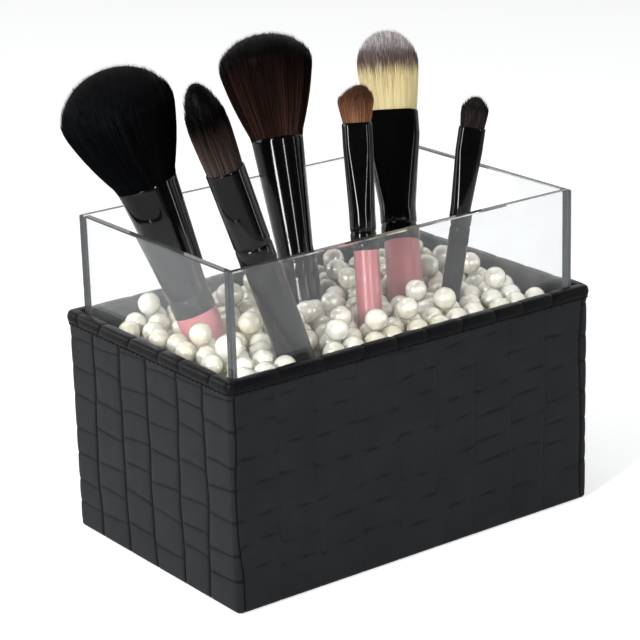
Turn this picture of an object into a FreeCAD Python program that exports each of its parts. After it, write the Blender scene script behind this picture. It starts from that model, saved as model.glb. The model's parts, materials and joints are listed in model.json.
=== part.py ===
import FreeCAD, Part
import math
import os
import random
import re
import Sketcher

# Desk-top brush holder: a leather-wrapped box, a clear liner that lifts out of it,
# a bed of beads in the liner, and six cosmetic brushes stood in the beads.
# Frame: +X along the long side, -Y towards the front, +Z up, origin at the centre
# of the underside. Millimetres and degrees.

Vector = FreeCAD.Vector
doc = FreeCAD.newDocument("BrushHolder")

# ---------------------------------------------------------------- driving sizes

CASE_SIZES = [
    ("case_length", 170.0, "outside of the wrap, left to right"),
    ("case_depth", 109.0, "outside of the wrap, front to rear"),
    ("case_height", 89.5, "table to the top of the rim"),
    ("case_corner", 2.5, "radius of the upright outside corners"),
    ("skin_thickness", 0.9, "wrap material"),
    ("hem_width", 12.0, "wrap turned under the base"),
    ("hem_round", 1.4, "radius of the wrap's bottom edge"),
    ("board_thickness", 3.0, "wall boards"),
    ("base_thickness", 3.0, "base board"),
    ("joint_depth", 1.2, "rebate that holds the end boards"),
    ("lining_thickness", 0.6, "inside lining"),
    ("opening_corner", 1.2, "radius of the upright inside corners"),
    ("pad_thickness", 0.5, "sheet glued under the base"),
    ("pad_margin", 3.0, "pad edge to the outside of the wrap"),
    ("pad_corner", 4.0, "corner radius of the pad"),
    ("band_height", 5.6, "rim band on the outside"),
    ("band_drop", 8.0, "rim band on the inside"),
    ("band_proud", 0.7, "rim band beyond the wrap"),
    ("band_top", 1.5, "rim band over the boards"),
    ("band_roll", 1.3, "radius of the rim's turned edges"),
]

LINER_SIZES = [
    ("liner_clearance", 0.6, "lining to clear liner, each side"),
    ("sheet_thickness", 3.0, "clear sheet"),
    ("liner_rise", 38.0, "clear walls above the rim"),
    ("sheet_edge", 0.4, "polished bevel along the top edges"),
    ("bead_diameter", 9.0, "loose beads"),
    ("bead_gap", 0.3, "least space between top beads"),
    ("bed_drop", 9.5, "rim down to the packed bed"),
    ("bed_gap", 0.2, "packed bed to the clear sheet"),
    ("entry_drop", 1.5, "rim down to the level where brushes enter"),
]

# How the loose beads are laid: rows this much wider than the beads need, shaken by this
# share of a bead, pushed apart this often, the gaps filled with this many tries, and at
# least this far apart in the upper layer.
BEAD_SEED = 4
BEAD_LOOSENESS = 1.05
BEAD_SHAKE = 0.28
SETTLING_TURNS = 150
FILLING_TRIALS = 6000
UPPER_SPACING = 1.25

BRUSH_SHARED = [
    ("ferrule_wall", 0.6, "ferrule sheet metal"),
    ("ferrule_lip", 0.2, "ferrule beyond the handle"),
    ("collar_length", 12.0, "straight lower part of a ferrule"),
    ("crimp_height", 6.0, "foot of the ferrule to the crimp"),
    ("crimp_width", 1.6, "rolled groove, measured along the ferrule"),
    ("crimp_depth", 0.35, "depth of the rolled groove"),
    ("glue_gap", 0.05, "handle tenon inside the ferrule"),
    ("tenon_length", 11.0, "handle inside the ferrule"),
    ("root_length", 8.0, "hair inside the ferrule"),
    ("butt_round", 2.5, "length and radius of the rounded handle end"),
    ("handle_straight", 26.0, "handle below the ferrule at full width"),
    ("pocket_clearance", 0.5, "beads held off a handle"),
]

# Each brush: how far in from the clear walls its axis crosses the entry level, how it
# leans (degrees from upright, and the way it leans, seen from above), and its sizes.
BRUSHES = {
    "powder": {
        "offset_x": 24.0, "offset_y": 7.7,
        "lean": 19.7, "heading": 134.5, "turn": 0.0, "buried": 76.0,
        "handle_length": 82.0, "handle_width": 16.0, "butt_width": 9.0,
        "ferrule_length": 52.0, "mouth_width": 23.0,
        "hair_length": 45.5, "hair_width": 43.6, "hair_widest": 28.0, "flank_radius": 110.0,
    },
    "tapered": {
        "offset_x": 34.6, "offset_y": 14.6,
        "lean": 17.5, "heading": 148.7, "turn": 0.0, "buried": 58.0,
        "handle_length": 92.0, "handle_width": 13.6, "butt_width": 7.6,
        "ferrule_length": 36.5, "mouth_width": 14.6,
        "hair_length": 34.0, "hair_width": 15.2, "hair_widest": 18.0, "flank_radius": 150.0,
    },
    "blush": {
        "offset_x": 0.4, "offset_y": 27.5,
        "lean": 22.7, "heading": 73.5, "turn": 0.0, "buried": 72.0,
        "handle_length": 76.5, "handle_width": 14.0, "butt_width": 8.0,
        "ferrule_length": 55.0, "mouth_width": 20.4,
        "hair_length": 42.5, "hair_width": 37.4, "hair_widest": 30.0, "flank_radius": 130.0,
    },
    "shader": {
        "offset_x": 2.4, "offset_y": 25.6,
        "lean": 18.7, "heading": 59.1, "turn": -36.0, "buried": 62.0,
        "handle_length": 85.7, "handle_width": 9.6, "butt_width": 6.4,
        "ferrule_length": 48.0, "mouth_width": 11.6,
        "hair_length": 15.5, "hair_width": 13.6, "hair_widest": 9.0, "flank_radius": 60.0,
    },
    "foundation": {
        "offset_x": 42.0, "offset_y": 44.8,
        "lean": 30.3, "heading": 57.5, "turn": -34.0, "buried": 74.0,
        "handle_length": 91.0, "handle_width": 14.0, "butt_width": 8.0,
        "ferrule_length": 53.0, "mouth_width": 21.6,
        "hair_length": 34.5, "hair_width": 24.6, "hair_widest": 20.0, "flank_radius": 120.0,
    },
    "eye": {
        "offset_x": 33.4, "offset_y": 27.0,
        "lean": 13.5, "heading": 10.0, "turn": -39.0, "buried": 70.0,
        "handle_length": 88.4, "handle_width": 7.6, "butt_width": 5.4,
        "ferrule_length": 45.0, "mouth_width": 10.4,
        "hair_length": 12.5, "hair_width": 10.6, "hair_widest": 6.0, "flank_radius": 60.0,
    },
}

# The clear wall, or the middle of the liner, that each brush's offsets are taken from.
ANCHORS = {
    "powder": ("left", "middle"),
    "tapered": ("left", "front"),
    "blush": ("middle", "rear"),
    "shader": ("middle", "front"),
    "foundation": ("right", "front"),
    "eye": ("right", "front"),
}

# Brushes whose ferrule is pinched flat towards the hair.
FLAT_BRUSHES = {
    "shader": {"pinch_start": 16.0, "mouth_depth": 7.0, "hair_depth": 6.6, "tip_depth": 4.0},
    "foundation": {"pinch_start": 20.0, "mouth_depth": 8.4, "hair_depth": 8.0, "tip_depth": 3.6},
    "eye": {"pinch_start": 16.0, "mouth_depth": 4.8, "hair_depth": 4.6, "tip_depth": 2.4},
}

sheet = doc.addObject("Spreadsheet::Sheet", "Sizes")
names = set()


def add_size(alias, value, note):
    """Writes one driving size to the sheet."""
    row = str(len(names) + 1)
    sheet.set("A" + row, alias)
    sheet.set("B" + row, str(value))
    sheet.set("C" + row, note)
    sheet.setAlias("B" + row, alias)
    names.add(alias)


for table in (CASE_SIZES, LINER_SIZES, BRUSH_SHARED):
    for alias, value, note in table:
        add_size(alias, value, note)
for table in (BRUSHES, FLAT_BRUSHES):
    for brush, values in table.items():
        for name, value in values.items():
            add_size(brush + "_" + name, value, brush + " brush")
doc.recompute()

# Levels and spans that several pieces share, as expressions of the sizes.
WALL_BOTTOM = "(pad_thickness + skin_thickness)"
WALL_TOP = "(case_height - band_top)"
BASE_TOP = "(pad_thickness + skin_thickness + base_thickness)"
LINER_BOTTOM = "(pad_thickness + skin_thickness + base_thickness + lining_thickness)"
LINER_TOP = "(case_height + liner_rise)"
BED_BOTTOM = "(" + LINER_BOTTOM + " + sheet_thickness)"
BED_TOP = "(case_height - bed_drop)"
ENTRY_LEVEL = "(case_height - entry_drop)"
LEG_BOTTOM = "(case_height - band_drop)"
BOARD_OUT = "skin_thickness"
BOARD_IN = "(skin_thickness + board_thickness)"
LINING_IN = "(skin_thickness + board_thickness + lining_thickness)"
LINER_OUT = "(" + LINING_IN + " + liner_clearance)"
LINER_IN = "(" + LINER_OUT + " + sheet_thickness)"
BED_OUT = "(" + LINER_IN + " + bed_gap)"


def length_at(inset):
    """Left-to-right span at a distance in from the outside of the wrap."""
    return "(case_length - 2 * " + inset + ")"


def depth_at(inset):
    """Front-to-rear span at a distance in from the outside of the wrap."""
    return "(case_depth - 2 * " + inset + ")"


def bound(expression):
    """The expression with every size name pointed at the sheet."""
    return re.sub(
        r"[a-z][a-z_]*",
        lambda word: "Sizes." + word.group() if word.group() in names else word.group(),
        str(expression),
    )


def size(expression):
    """The present value of an expression of sizes."""
    return float(sheet.evalExpression(str(expression)))


def bind(item, path, expression):
    item.setExpression(path, bound(expression))


# ------------------------------------------------------------- modelling helpers

parts = []


def keep(item, label, placement=None):
    """Names a finished sub-part and lists it for export."""
    item.Label = label
    if placement is not None:
        item.Placement = placement
    parts.append(item)
    return item


def new_body(name, bottom="0"):
    body = doc.addObject("PartDesign::Body", name)
    bind(body, "Placement.Base.z", bottom)
    return body


def origin_plane(body, role):
    return [item for item in body.Origin.OriginFeatures if item.Role == role][0]


def new_sketch(body, name, role="XY_Plane", offset="0"):
    """A sketch on one of the body's own planes, raised by offset along its normal."""
    sketch = body.newObject("Sketcher::SketchObject", body.Name + name)
    sketch.AttachmentSupport = [(origin_plane(body, role), "")]
    sketch.MapMode = "FlatFace"
    bind(sketch, "AttachmentOffset.Base.z", offset)
    return sketch


def constrain(sketch, kind, first, first_end, second, second_end, name, expression):
    """Adds one named distance and binds it to the sheet."""
    number = sketch.addConstraint(
        Sketcher.Constraint(kind, first, first_end, second, second_end, size(expression))
    )
    sketch.renameConstraint(number, name)
    bind(sketch, ".Constraints." + name, expression)


def bulged(start, finish, radius):
    """An arc between two points that swells to the right of the way from one to the other."""
    chord = finish - start
    half = chord.Length / 2
    sagitta = radius - math.sqrt(radius * radius - half * half)
    outwards = Vector(chord.y, -chord.x, 0).normalize()
    return Part.Arc(start, start + chord / 2 + outwards * sagitta, finish)


def draw_outline(sketch, points, arcs=None):
    """A closed run of lines whose corners are pairs of expressions.

    arcs gives the radius of each side that is an arc, by the number of its first corner.
    """
    arcs = arcs or {}
    first = sketch.GeometryCount
    count = len(points)
    places = [Vector(size(x), size(y), 0) for x, y in points]
    for index in range(count):
        start = places[index]
        finish = places[(index + 1) % count]
        if index in arcs:
            sketch.addGeometry(bulged(start, finish, size(arcs[index])), False)
        else:
            sketch.addGeometry(Part.LineSegment(start, finish), False)
    for index in range(count):
        after = first + (index + 1) % count
        sketch.addConstraint(Sketcher.Constraint("Coincident", first + index, 2, after, 1))
    for index, radius in arcs.items():
        constraint = Sketcher.Constraint("Radius", first + index, size(radius))
        name = "radius" + str(first + index)
        sketch.renameConstraint(sketch.addConstraint(constraint), name)
        bind(sketch, ".Constraints." + name, radius)
    for index, (x, y) in enumerate(points):
        line = first + index
        if x == "0":
            sketch.addConstraint(Sketcher.Constraint("PointOnObject", line, 1, -2))
        else:
            constrain(sketch, "DistanceX", -1, 1, line, 1, "x" + str(line), x)
        if y == "0":
            sketch.addConstraint(Sketcher.Constraint("PointOnObject", line, 1, -1))
        else:
            constrain(sketch, "DistanceY", -1, 1, line, 1, "y" + str(line), y)


def draw_rounded(sketch, length, depth, radius):
    """A rectangle about the origin with equal round corners."""
    first = sketch.GeometryCount
    right = size(length) / 2
    rear = size(depth) / 2
    round_size = size(radius)
    inner_x = right - round_size
    inner_y = rear - round_size
    sides = [
        (Vector(-inner_x, -rear, 0), Vector(inner_x, -rear, 0)),
        (Vector(right, -inner_y, 0), Vector(right, inner_y, 0)),
        (Vector(inner_x, rear, 0), Vector(-inner_x, rear, 0)),
        (Vector(-right, inner_y, 0), Vector(-right, -inner_y, 0)),
    ]
    centres = [
        Vector(inner_x, -inner_y, 0),
        Vector(inner_x, inner_y, 0),
        Vector(-inner_x, inner_y, 0),
        Vector(-inner_x, -inner_y, 0),
    ]
    for quarter in range(4):
        start = (quarter - 1) * math.pi / 2
        circle = Part.Circle(centres[quarter], Vector(0, 0, 1), round_size)
        sketch.addGeometry(Part.LineSegment(*sides[quarter]), False)
        sketch.addGeometry(Part.ArcOfCircle(circle, start, start + math.pi / 2), False)
    for step in range(8):
        after = first + (step + 1) % 8
        sketch.addConstraint(Sketcher.Constraint("Tangent", first + step, 2, after, 1))
    for side, kind in ((0, "Horizontal"), (2, "Vertical"), (4, "Horizontal"), (6, "Vertical")):
        sketch.addConstraint(Sketcher.Constraint(kind, first + side))
    for arc in (3, 5, 7):
        sketch.addConstraint(Sketcher.Constraint("Equal", first + 1, first + arc))
    sketch.addConstraint(Sketcher.Constraint("Symmetric", first + 7, 3, first + 3, 3, -1, 1))
    number = sketch.addConstraint(Sketcher.Constraint("Radius", first + 1, round_size))
    sketch.renameConstraint(number, "radius" + str(first))
    bind(sketch, ".Constraints.radius" + str(first), radius)
    constrain(sketch, "DistanceX", first + 6, 1, first + 2, 1, "length" + str(first), length)
    constrain(sketch, "DistanceY", first, 1, first + 4, 2, "depth" + str(first), depth)


def pad(body, sketch, height):
    feature = body.newObject("PartDesign::Pad", sketch.Name + "Pad")
    feature.Profile = sketch
    bind(feature, "Length", height)
    doc.recompute()
    return feature


def pocket_up(body, sketch, height=None):
    """Cuts upwards from a sketch, by a height or through everything above it."""
    before = body.Shape.Volume
    feature = body.newObject("PartDesign::Pocket", sketch.Name + "Pocket")
    feature.Profile = sketch
    feature.Reversed = True
    if height is None:
        feature.Type = "ThroughAll"
    else:
        bind(feature, "Length", height)
    doc.recompute()
    if body.Shape.Volume >= before:
        raise RuntimeError(feature.Name + " cuts nothing")
    return feature


def pocket_both_ways(body, sketch):
    """Cuts through everything on both sides of a sketch."""
    before = body.Shape.Volume
    feature = body.newObject("PartDesign::Pocket", sketch.Name + "Pocket")
    feature.Profile = sketch
    feature.Midplane = True
    feature.Type = "ThroughAll"
    doc.recompute()
    if body.Shape.Volume >= before:
        raise RuntimeError(feature.Name + " cuts nothing")
    return feature


def revolve(body, sketch):
    feature = body.newObject("PartDesign::Revolution", sketch.Name + "Turned")
    feature.Profile = sketch
    feature.ReferenceAxis = (sketch, ["V_Axis"])
    feature.Angle = 360
    doc.recompute()
    return feature


def edges_where(feature, test):
    """Names of the feature's edges that pass a test."""
    found = []
    for number, edge in enumerate(feature.Shape.Edges):
        if test(edge):
            found.append("Edge" + str(number + 1))
    return found


def edges_at_height(feature, height, reach):
    """Edges that lie flat at a local height, no nearer the centre line than reach."""

    def test(edge):
        box = edge.BoundBox
        level = abs(box.ZMin - height) < 1e-4 and abs(box.ZMax - height) < 1e-4
        return level and max(abs(box.YMin), abs(box.YMax)) > reach

    return edges_where(feature, test)


def fillet(body, feature, edges, radius):
    item = body.newObject("PartDesign::Fillet", body.Name + "Fillet")
    item.Base = (feature, edges)
    bind(item, "Radius", radius)
    doc.recompute()
    return item


def chamfer(body, feature, edges, width):
    item = body.newObject("PartDesign::Chamfer", body.Name + "Chamfer")
    item.Base = (feature, edges)
    bind(item, "Size", width)
    doc.recompute()
    return item


# ------------------------------------------------------------------ the case


def build_outer_wrap():
    """Skin round the four walls, turned under the base in a hem."""
    body = new_body("OuterWrap", "pad_thickness")
    outline = new_sketch(body, "Outline")
    draw_rounded(outline, "case_length", "case_depth", "case_corner")
    block = pad(body, outline, WALL_TOP + " - pad_thickness")
    bottom_edges = edges_at_height(block, 0, 0)
    fillet(body, block, bottom_edges, "hem_round")
    inside = new_sketch(body, "Inside", offset="skin_thickness")
    draw_rounded(
        inside, length_at(BOARD_OUT), depth_at(BOARD_OUT), "case_corner - skin_thickness"
    )
    pocket_up(body, inside)
    opening = new_sketch(body, "Hem")
    draw_rounded(opening, length_at("hem_width"), depth_at("hem_width"), "pad_corner")
    pocket_up(body, opening)
    keep(body, "outer_wrap")


def build_rim_binding():
    """Padded band turned over the tops of the walls."""
    body = new_body("RimBinding", LEG_BOTTOM)
    band = new_sketch(body, "Band", offset="band_drop - band_height")
    draw_rounded(
        band,
        "case_length + 2 * band_proud",
        "case_depth + 2 * band_proud",
        "case_corner + band_proud",
    )
    block = pad(body, band, "band_height")
    outer_edges = edges_at_height(block, size("band_drop"), 0)
    rolled = fillet(body, block, outer_edges, "band_roll")
    leg = new_sketch(body, "Leg")
    leg_corner = "opening_corner + lining_thickness"
    draw_rounded(leg, length_at(BOARD_IN), depth_at(BOARD_IN), leg_corner)
    pad(body, leg, "band_drop - band_top")
    slot = new_sketch(body, "Slot")
    draw_rounded(slot, "case_length", "case_depth", "case_corner")
    draw_rounded(slot, length_at(BOARD_IN), depth_at(BOARD_IN), leg_corner)
    pocket_up(body, slot, "band_drop - band_top")
    opening = new_sketch(body, "Opening")
    draw_rounded(opening, length_at(LINING_IN), depth_at(LINING_IN), "opening_corner")
    cut = pocket_up(body, opening)
    half_depth = size(depth_at(LINING_IN)) / 2
    top = size("band_drop")

    def on_mouth(edge):
        box = edge.BoundBox
        level = abs(box.ZMin - top) < 1e-4 and abs(box.ZMax - top) < 1e-4
        return level and max(abs(box.YMin), abs(box.YMax)) < half_depth + 0.01

    fillet(body, cut, edges_where(cut, on_mouth), "band_roll")
    keep(body, "rim_binding")


def build_long_board(name, label, side):
    """Front (side -1) or rear (side 1) board, rebated at both ends."""
    outer = "(" + depth_at(BOARD_OUT) + " / 2)"
    inner = "(" + depth_at(BOARD_IN) + " / 2)"
    rebate = "(" + inner + " + joint_depth)"
    end = "(" + length_at(BOARD_OUT) + " / 2)"
    shoulder = "(" + length_at(BOARD_IN) + " / 2)"
    run = [
        ("-" + end, outer),
        (end, outer),
        (end, rebate),
        (shoulder, rebate),
        (shoulder, inner),
        ("-" + shoulder, inner),
        ("-" + shoulder, rebate),
        ("-" + end, rebate),
    ]
    if side < 0:
        run = [(x, "-" + y) for x, y in reversed(run)]
    body = new_body(name, WALL_BOTTOM)
    plan = new_sketch(body, "Plan")
    draw_outline(plan, run)
    block = pad(body, plan, WALL_TOP + " - " + WALL_BOTTOM)
    face = size(outer)

    def upright_corner(edge):
        box = edge.BoundBox
        on_face = abs(abs(box.YMin) - face) < 1e-4 and abs(abs(box.YMax) - face) < 1e-4
        return on_face and box.ZLength > 1 and box.XLength < 1e-4

    corners = edges_where(block, upright_corner)
    fillet(body, block, corners, "case_corner - skin_thickness")
    keep(body, label)


def build_end_board(name, label, side):
    """Left (side -1) or right (side 1) board, its ends in the long boards' rebates."""
    board = doc.addObject("Part::Box", name)
    bind(board, "Length", "board_thickness")
    bind(board, "Width", depth_at(BOARD_IN) + " + 2 * joint_depth")
    bind(board, "Height", WALL_TOP + " - " + WALL_BOTTOM)
    inner = length_at(BOARD_IN) + " / 2"
    if side < 0:
        bind(board, "Placement.Base.x", "-" + inner + " - board_thickness")
    else:
        bind(board, "Placement.Base.x", inner)
    bind(board, "Placement.Base.y", "-" + depth_at(BOARD_IN) + " / 2 - joint_depth")
    bind(board, "Placement.Base.z", WALL_BOTTOM)
    keep(board, label)


def build_base_board():
    board = doc.addObject("Part::Box", "BaseBoard")
    bind(board, "Length", length_at(BOARD_IN))
    bind(board, "Width", depth_at(BOARD_IN))
    bind(board, "Height", "base_thickness")
    bind(board, "Placement.Base.x", "-" + length_at(BOARD_IN) + " / 2")
    bind(board, "Placement.Base.y", "-" + depth_at(BOARD_IN) + " / 2")
    bind(board, "Placement.Base.z", WALL_BOTTOM)
    keep(board, "base_board")


def build_wall_lining():
    """Lining on the inside of the boards, up to the rim band."""
    body = new_body("WallLining", BASE_TOP)
    ring = new_sketch(body, "Ring")
    corner = "opening_corner + lining_thickness"
    draw_rounded(ring, length_at(BOARD_IN), depth_at(BOARD_IN), corner)
    draw_rounded(ring, length_at(LINING_IN), depth_at(LINING_IN), "opening_corner")
    pad(body, ring, LEG_BOTTOM + " - " + BASE_TOP)
    keep(body, "wall_lining")


def build_sheet(name, label, bottom, length, depth, corner, thickness):
    """A thin flat sheet with round corners."""
    body = new_body(name, bottom)
    outline = new_sketch(body, "Outline")
    draw_rounded(outline, length, depth, corner)
    pad(body, outline, thickness)
    keep(body, label)


# ------------------------------------------------------------------ the liner


def build_clear_wall(name, label, x_span, y_span):
    """One wall of the clear liner, its top edges bevelled and polished."""
    body = new_body(name, LINER_BOTTOM)
    plan = new_sketch(body, "Plan")
    low_x, high_x = x_span
    low_y, high_y = y_span
    draw_outline(
        plan, [(low_x, low_y), (high_x, low_y), (high_x, high_y), (low_x, high_y)]
    )
    height = LINER_TOP + " - " + LINER_BOTTOM
    block = pad(body, plan, height)
    chamfer(body, block, edges_at_height(block, size(height), 0), "sheet_edge")
    keep(body, label)


def build_clear_walls():
    out_x = "(" + length_at(LINER_OUT) + " / 2)"
    in_x = "(" + length_at(LINER_IN) + " / 2)"
    out_y = "(" + depth_at(LINER_OUT) + " / 2)"
    in_y = "(" + depth_at(LINER_IN) + " / 2)"
    full = ("-" + out_x, out_x)
    between = ("-" + in_y, in_y)
    build_clear_wall("ClearFront", "acrylic_front", full, ("-" + out_y, "-" + in_y))
    build_clear_wall("ClearRear", "acrylic_rear", full, (in_y, out_y))
    build_clear_wall("ClearLeft", "acrylic_left", ("-" + out_x, "-" + in_x), between)
    build_clear_wall("ClearRight", "acrylic_right", (in_x, out_x), between)
    floor = doc.addObject("Part::Box", "ClearFloor")
    bind(floor, "Length", length_at(LINER_IN))
    bind(floor, "Width", depth_at(LINER_IN))
    bind(floor, "Height", "sheet_thickness")
    bind(floor, "Placement.Base.x", "-" + in_x)
    bind(floor, "Placement.Base.y", "-" + in_y)
    bind(floor, "Placement.Base.z", LINER_BOTTOM)
    keep(floor, "acrylic_floor")


# ---------------------------------------------------------------- the brushes


def from_anchor(brush, side, offset, span):
    """A brush's place along X or Y, as an expression, from the wall that it goes with."""
    if side == "middle":
        return brush + offset
    if side in ("left", "front"):
        return "(" + brush + offset + " - " + span + " / 2)"
    return "(" + span + " / 2 - " + brush + offset + ")"


def brush_axis(brush):
    """The point where a brush enters the beads, and the way that it points."""
    side_x, side_y = ANCHORS[brush]
    entry_x = from_anchor(brush, side_x, "_offset_x", length_at(LINER_IN))
    entry_y = from_anchor(brush, side_y, "_offset_y", depth_at(LINER_IN))
    lean = math.radians(size(brush + "_lean"))
    heading = math.radians(size(brush + "_heading"))
    direction = Vector(
        math.sin(lean) * math.cos(heading),
        math.sin(lean) * math.sin(heading),
        math.cos(lean),
    )
    entry = Vector(size(entry_x), size(entry_y), size(ENTRY_LEVEL))
    return entry, direction


def brush_placement(brush):
    """Puts a brush modelled up +Z from its butt where it stands in the beads."""
    entry, direction = brush_axis(brush)
    heading = math.radians(size(brush + "_heading"))
    hinge = Vector(-math.sin(heading), math.cos(heading), 0)
    leaning = FreeCAD.Rotation(hinge, size(brush + "_lean"))
    turning = FreeCAD.Rotation(Vector(0, 0, 1), size(brush + "_turn"))
    butt = entry - direction * size(brush + "_buried")
    return FreeCAD.Placement(butt, leaning * turning)


def build_handle(brush):
    """Turned handle: rounded butt, swelling taper, straight neck and a tenon."""
    body = doc.addObject("PartDesign::Body", brush.capitalize() + "Handle")
    profile = new_sketch(body, "Profile", "XZ_Plane")
    end = brush + "_handle_length"
    full = "(" + brush + "_handle_width / 2)"
    butt = "(" + brush + "_butt_width / 2)"
    tenon = "(" + full + " + ferrule_lip - ferrule_wall - glue_gap)"
    rise = "(" + end + " - handle_straight - butt_round)"
    swell = "(" + full + " - " + butt + ")"
    taper_radius = "(" + rise + " ^ 2 + " + swell + " ^ 2) / (2 * " + swell + ")"
    draw_outline(
        profile,
        [
            ("0", "0"),
            (butt + " - butt_round / 2", "0"),
            (butt, "butt_round"),
            (full, end + " - handle_straight"),
            (full, end),
            (tenon, end),
            (tenon, end + " + tenon_length"),
            ("0", end + " + tenon_length"),
        ],
        {1: "butt_round", 2: taper_radius},
    )
    revolve(body, profile)
    keep(body, brush + "_handle", brush_placement(brush))


def ferrule_outer(brush):
    """Outer run of a ferrule's half section, foot to mouth."""
    foot = brush + "_handle_length"
    wide = "(" + brush + "_handle_width / 2 + ferrule_lip)"
    mouth = "(" + brush + "_mouth_width / 2)"
    return [
        (wide, foot),
        (wide, foot + " + crimp_height"),
        (wide + " - crimp_depth", foot + " + crimp_height + crimp_width / 2"),
        (wide, foot + " + crimp_height + crimp_width"),
        (wide, foot + " + collar_length"),
        (mouth, foot + " + " + brush + "_ferrule_length"),
    ]


def ferrule_bore(brush):
    """Bore radius at the foot and at the mouth."""
    foot = "(" + brush + "_handle_width / 2 + ferrule_lip - ferrule_wall)"
    mouth = "(" + brush + "_mouth_width / 2 - ferrule_wall)"
    return foot, mouth


def bore_at_root(brush):
    """Bore radius at the lower end of the hair's root."""
    foot, mouth = ferrule_bore(brush)
    taper = "(" + brush + "_ferrule_length - collar_length)"
    return "(" + mouth + " - (" + mouth + " - " + foot + ") * root_length / " + taper + ")"


def pinch_half(brush, wall):
    """Half thickness of a pinched ferrule where the pinch starts and at its mouth."""
    wide = "(" + brush + "_handle_width / 2 + ferrule_lip)"
    mouth = "(" + brush + "_mouth_width / 2)"
    rise = "(" + brush + "_pinch_start - collar_length)"
    taper = "(" + brush + "_ferrule_length - collar_length)"
    start = "(" + wide + " + (" + mouth + " - " + wide + ") * " + rise + " / " + taper
    return start + " - " + wall + ")", "(" + brush + "_mouth_depth / 2 - " + wall + ")"


def cut_sides(body, name, run, reach):
    """Pockets away what lies outside a run of (half thickness, height) points."""
    low = run[0][1]
    high = run[-1][1]
    right = run + [(reach, high), (reach, low)]
    left = [("-" + x, y) for x, y in reversed(right)]
    sketch = new_sketch(body, name, "YZ_Plane")
    draw_outline(sketch, right)
    draw_outline(sketch, left)
    pocket_both_ways(body, sketch)


def build_round_ferrule(brush):
    body = doc.addObject("PartDesign::Body", brush.capitalize() + "Ferrule")
    foot = brush + "_handle_length"
    bore_foot, bore_mouth = ferrule_bore(brush)
    profile = new_sketch(body, "Profile", "XZ_Plane")
    draw_outline(
        profile,
        ferrule_outer(brush)
        + [
            (bore_mouth, foot + " + " + brush + "_ferrule_length"),
            (bore_foot, foot + " + collar_length"),
            (bore_foot, foot),
        ],
    )
    revolve(body, profile)
    keep(body, brush + "_ferrule", brush_placement(brush))


def build_flat_ferrule(brush):
    """Round collar pinched to a flat mouth, hollow all the way."""
    foot = brush + "_handle_length"
    top = foot + " + " + brush + "_ferrule_length"
    pinch = foot + " + " + brush + "_pinch_start"
    reach = brush + "_mouth_width"
    shell = doc.addObject("PartDesign::Body", brush.capitalize() + "FerruleShell")
    outer = new_sketch(shell, "Profile", "XZ_Plane")
    draw_outline(outer, [("0", foot)] + ferrule_outer(brush) + [("0", top)])
    revolve(shell, outer)
    start, mouth = pinch_half(brush, "0")
    cut_sides(shell, "Flats", [(start, pinch), (mouth, top)], reach)
    core = doc.addObject("PartDesign::Body", brush.capitalize() + "FerruleBore")
    bore_foot, bore_mouth = ferrule_bore(brush)
    inner = new_sketch(core, "Profile", "XZ_Plane")
    draw_outline(
        inner,
        [
            ("0", foot),
            (bore_foot, foot),
            (bore_foot, foot + " + collar_length"),
            (bore_mouth, top),
            ("0", top),
        ],
    )
    revolve(core, inner)
    start, mouth = pinch_half(brush, "ferrule_wall")
    cut_sides(core, "Flats", [(start, pinch), (mouth, top)], reach)
    ferrule = doc.addObject("Part::Cut", brush.capitalize() + "Ferrule")
    ferrule.Base = shell
    ferrule.Tool = core
    doc.recompute()
    keep(ferrule, brush + "_ferrule", brush_placement(brush))


def build_head(brush):
    """Hair: a root that fills the ferrule, a flare and a domed crown."""
    body = doc.addObject("PartDesign::Body", brush.capitalize() + "Head")
    mouth_level = "(" + brush + "_handle_length + " + brush + "_ferrule_length)"
    root_level = mouth_level + " - root_length"
    widest_level = mouth_level + " + " + brush + "_hair_widest"
    dome = brush + "_hair_length - " + brush + "_hair_widest"
    mouth = ferrule_bore(brush)[1]
    profile = new_sketch(body, "Profile", "XZ_Plane")
    draw_outline(
        profile,
        [
            ("0", root_level),
            (bore_at_root(brush), root_level),
            (mouth, mouth_level),
            (brush + "_hair_width / 2", widest_level),
            ("0", widest_level),
        ],
        {2: brush + "_flank_radius"},
    )
    revolve(body, profile)
    crown = body.newObject("PartDesign::AdditiveEllipsoid", brush.capitalize() + "Crown")
    crown.AttachmentSupport = [(origin_plane(body, "XY_Plane"), "")]
    crown.MapMode = "FlatFace"
    bind(crown, "AttachmentOffset.Base.z", widest_level)
    bind(crown, "Radius1", dome)
    bind(crown, "Radius2", brush + "_hair_width / 2")
    bind(crown, "Radius3", brush + "_hair_width / 2")
    crown.Angle1 = 0
    doc.recompute()
    if brush in FLAT_BRUSHES:
        start, flat_mouth = pinch_half(brush, "ferrule_wall")
        pinch_run = "(" + brush + "_ferrule_length - " + brush + "_pinch_start)"
        at_root = "(" + flat_mouth + " + (" + start + " - " + flat_mouth + ")"
        at_root += " * root_length / " + pinch_run + ")"
        run = [
            (at_root, root_level),
            (flat_mouth, mouth_level),
            (brush + "_hair_depth / 2", widest_level),
            (brush + "_tip_depth / 2", widest_level + " + " + dome),
        ]
        cut_sides(body, "Flats", run, brush + "_hair_width")
    keep(body, brush + "_head", brush_placement(brush))


# ------------------------------------------------------------------ the beads


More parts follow.
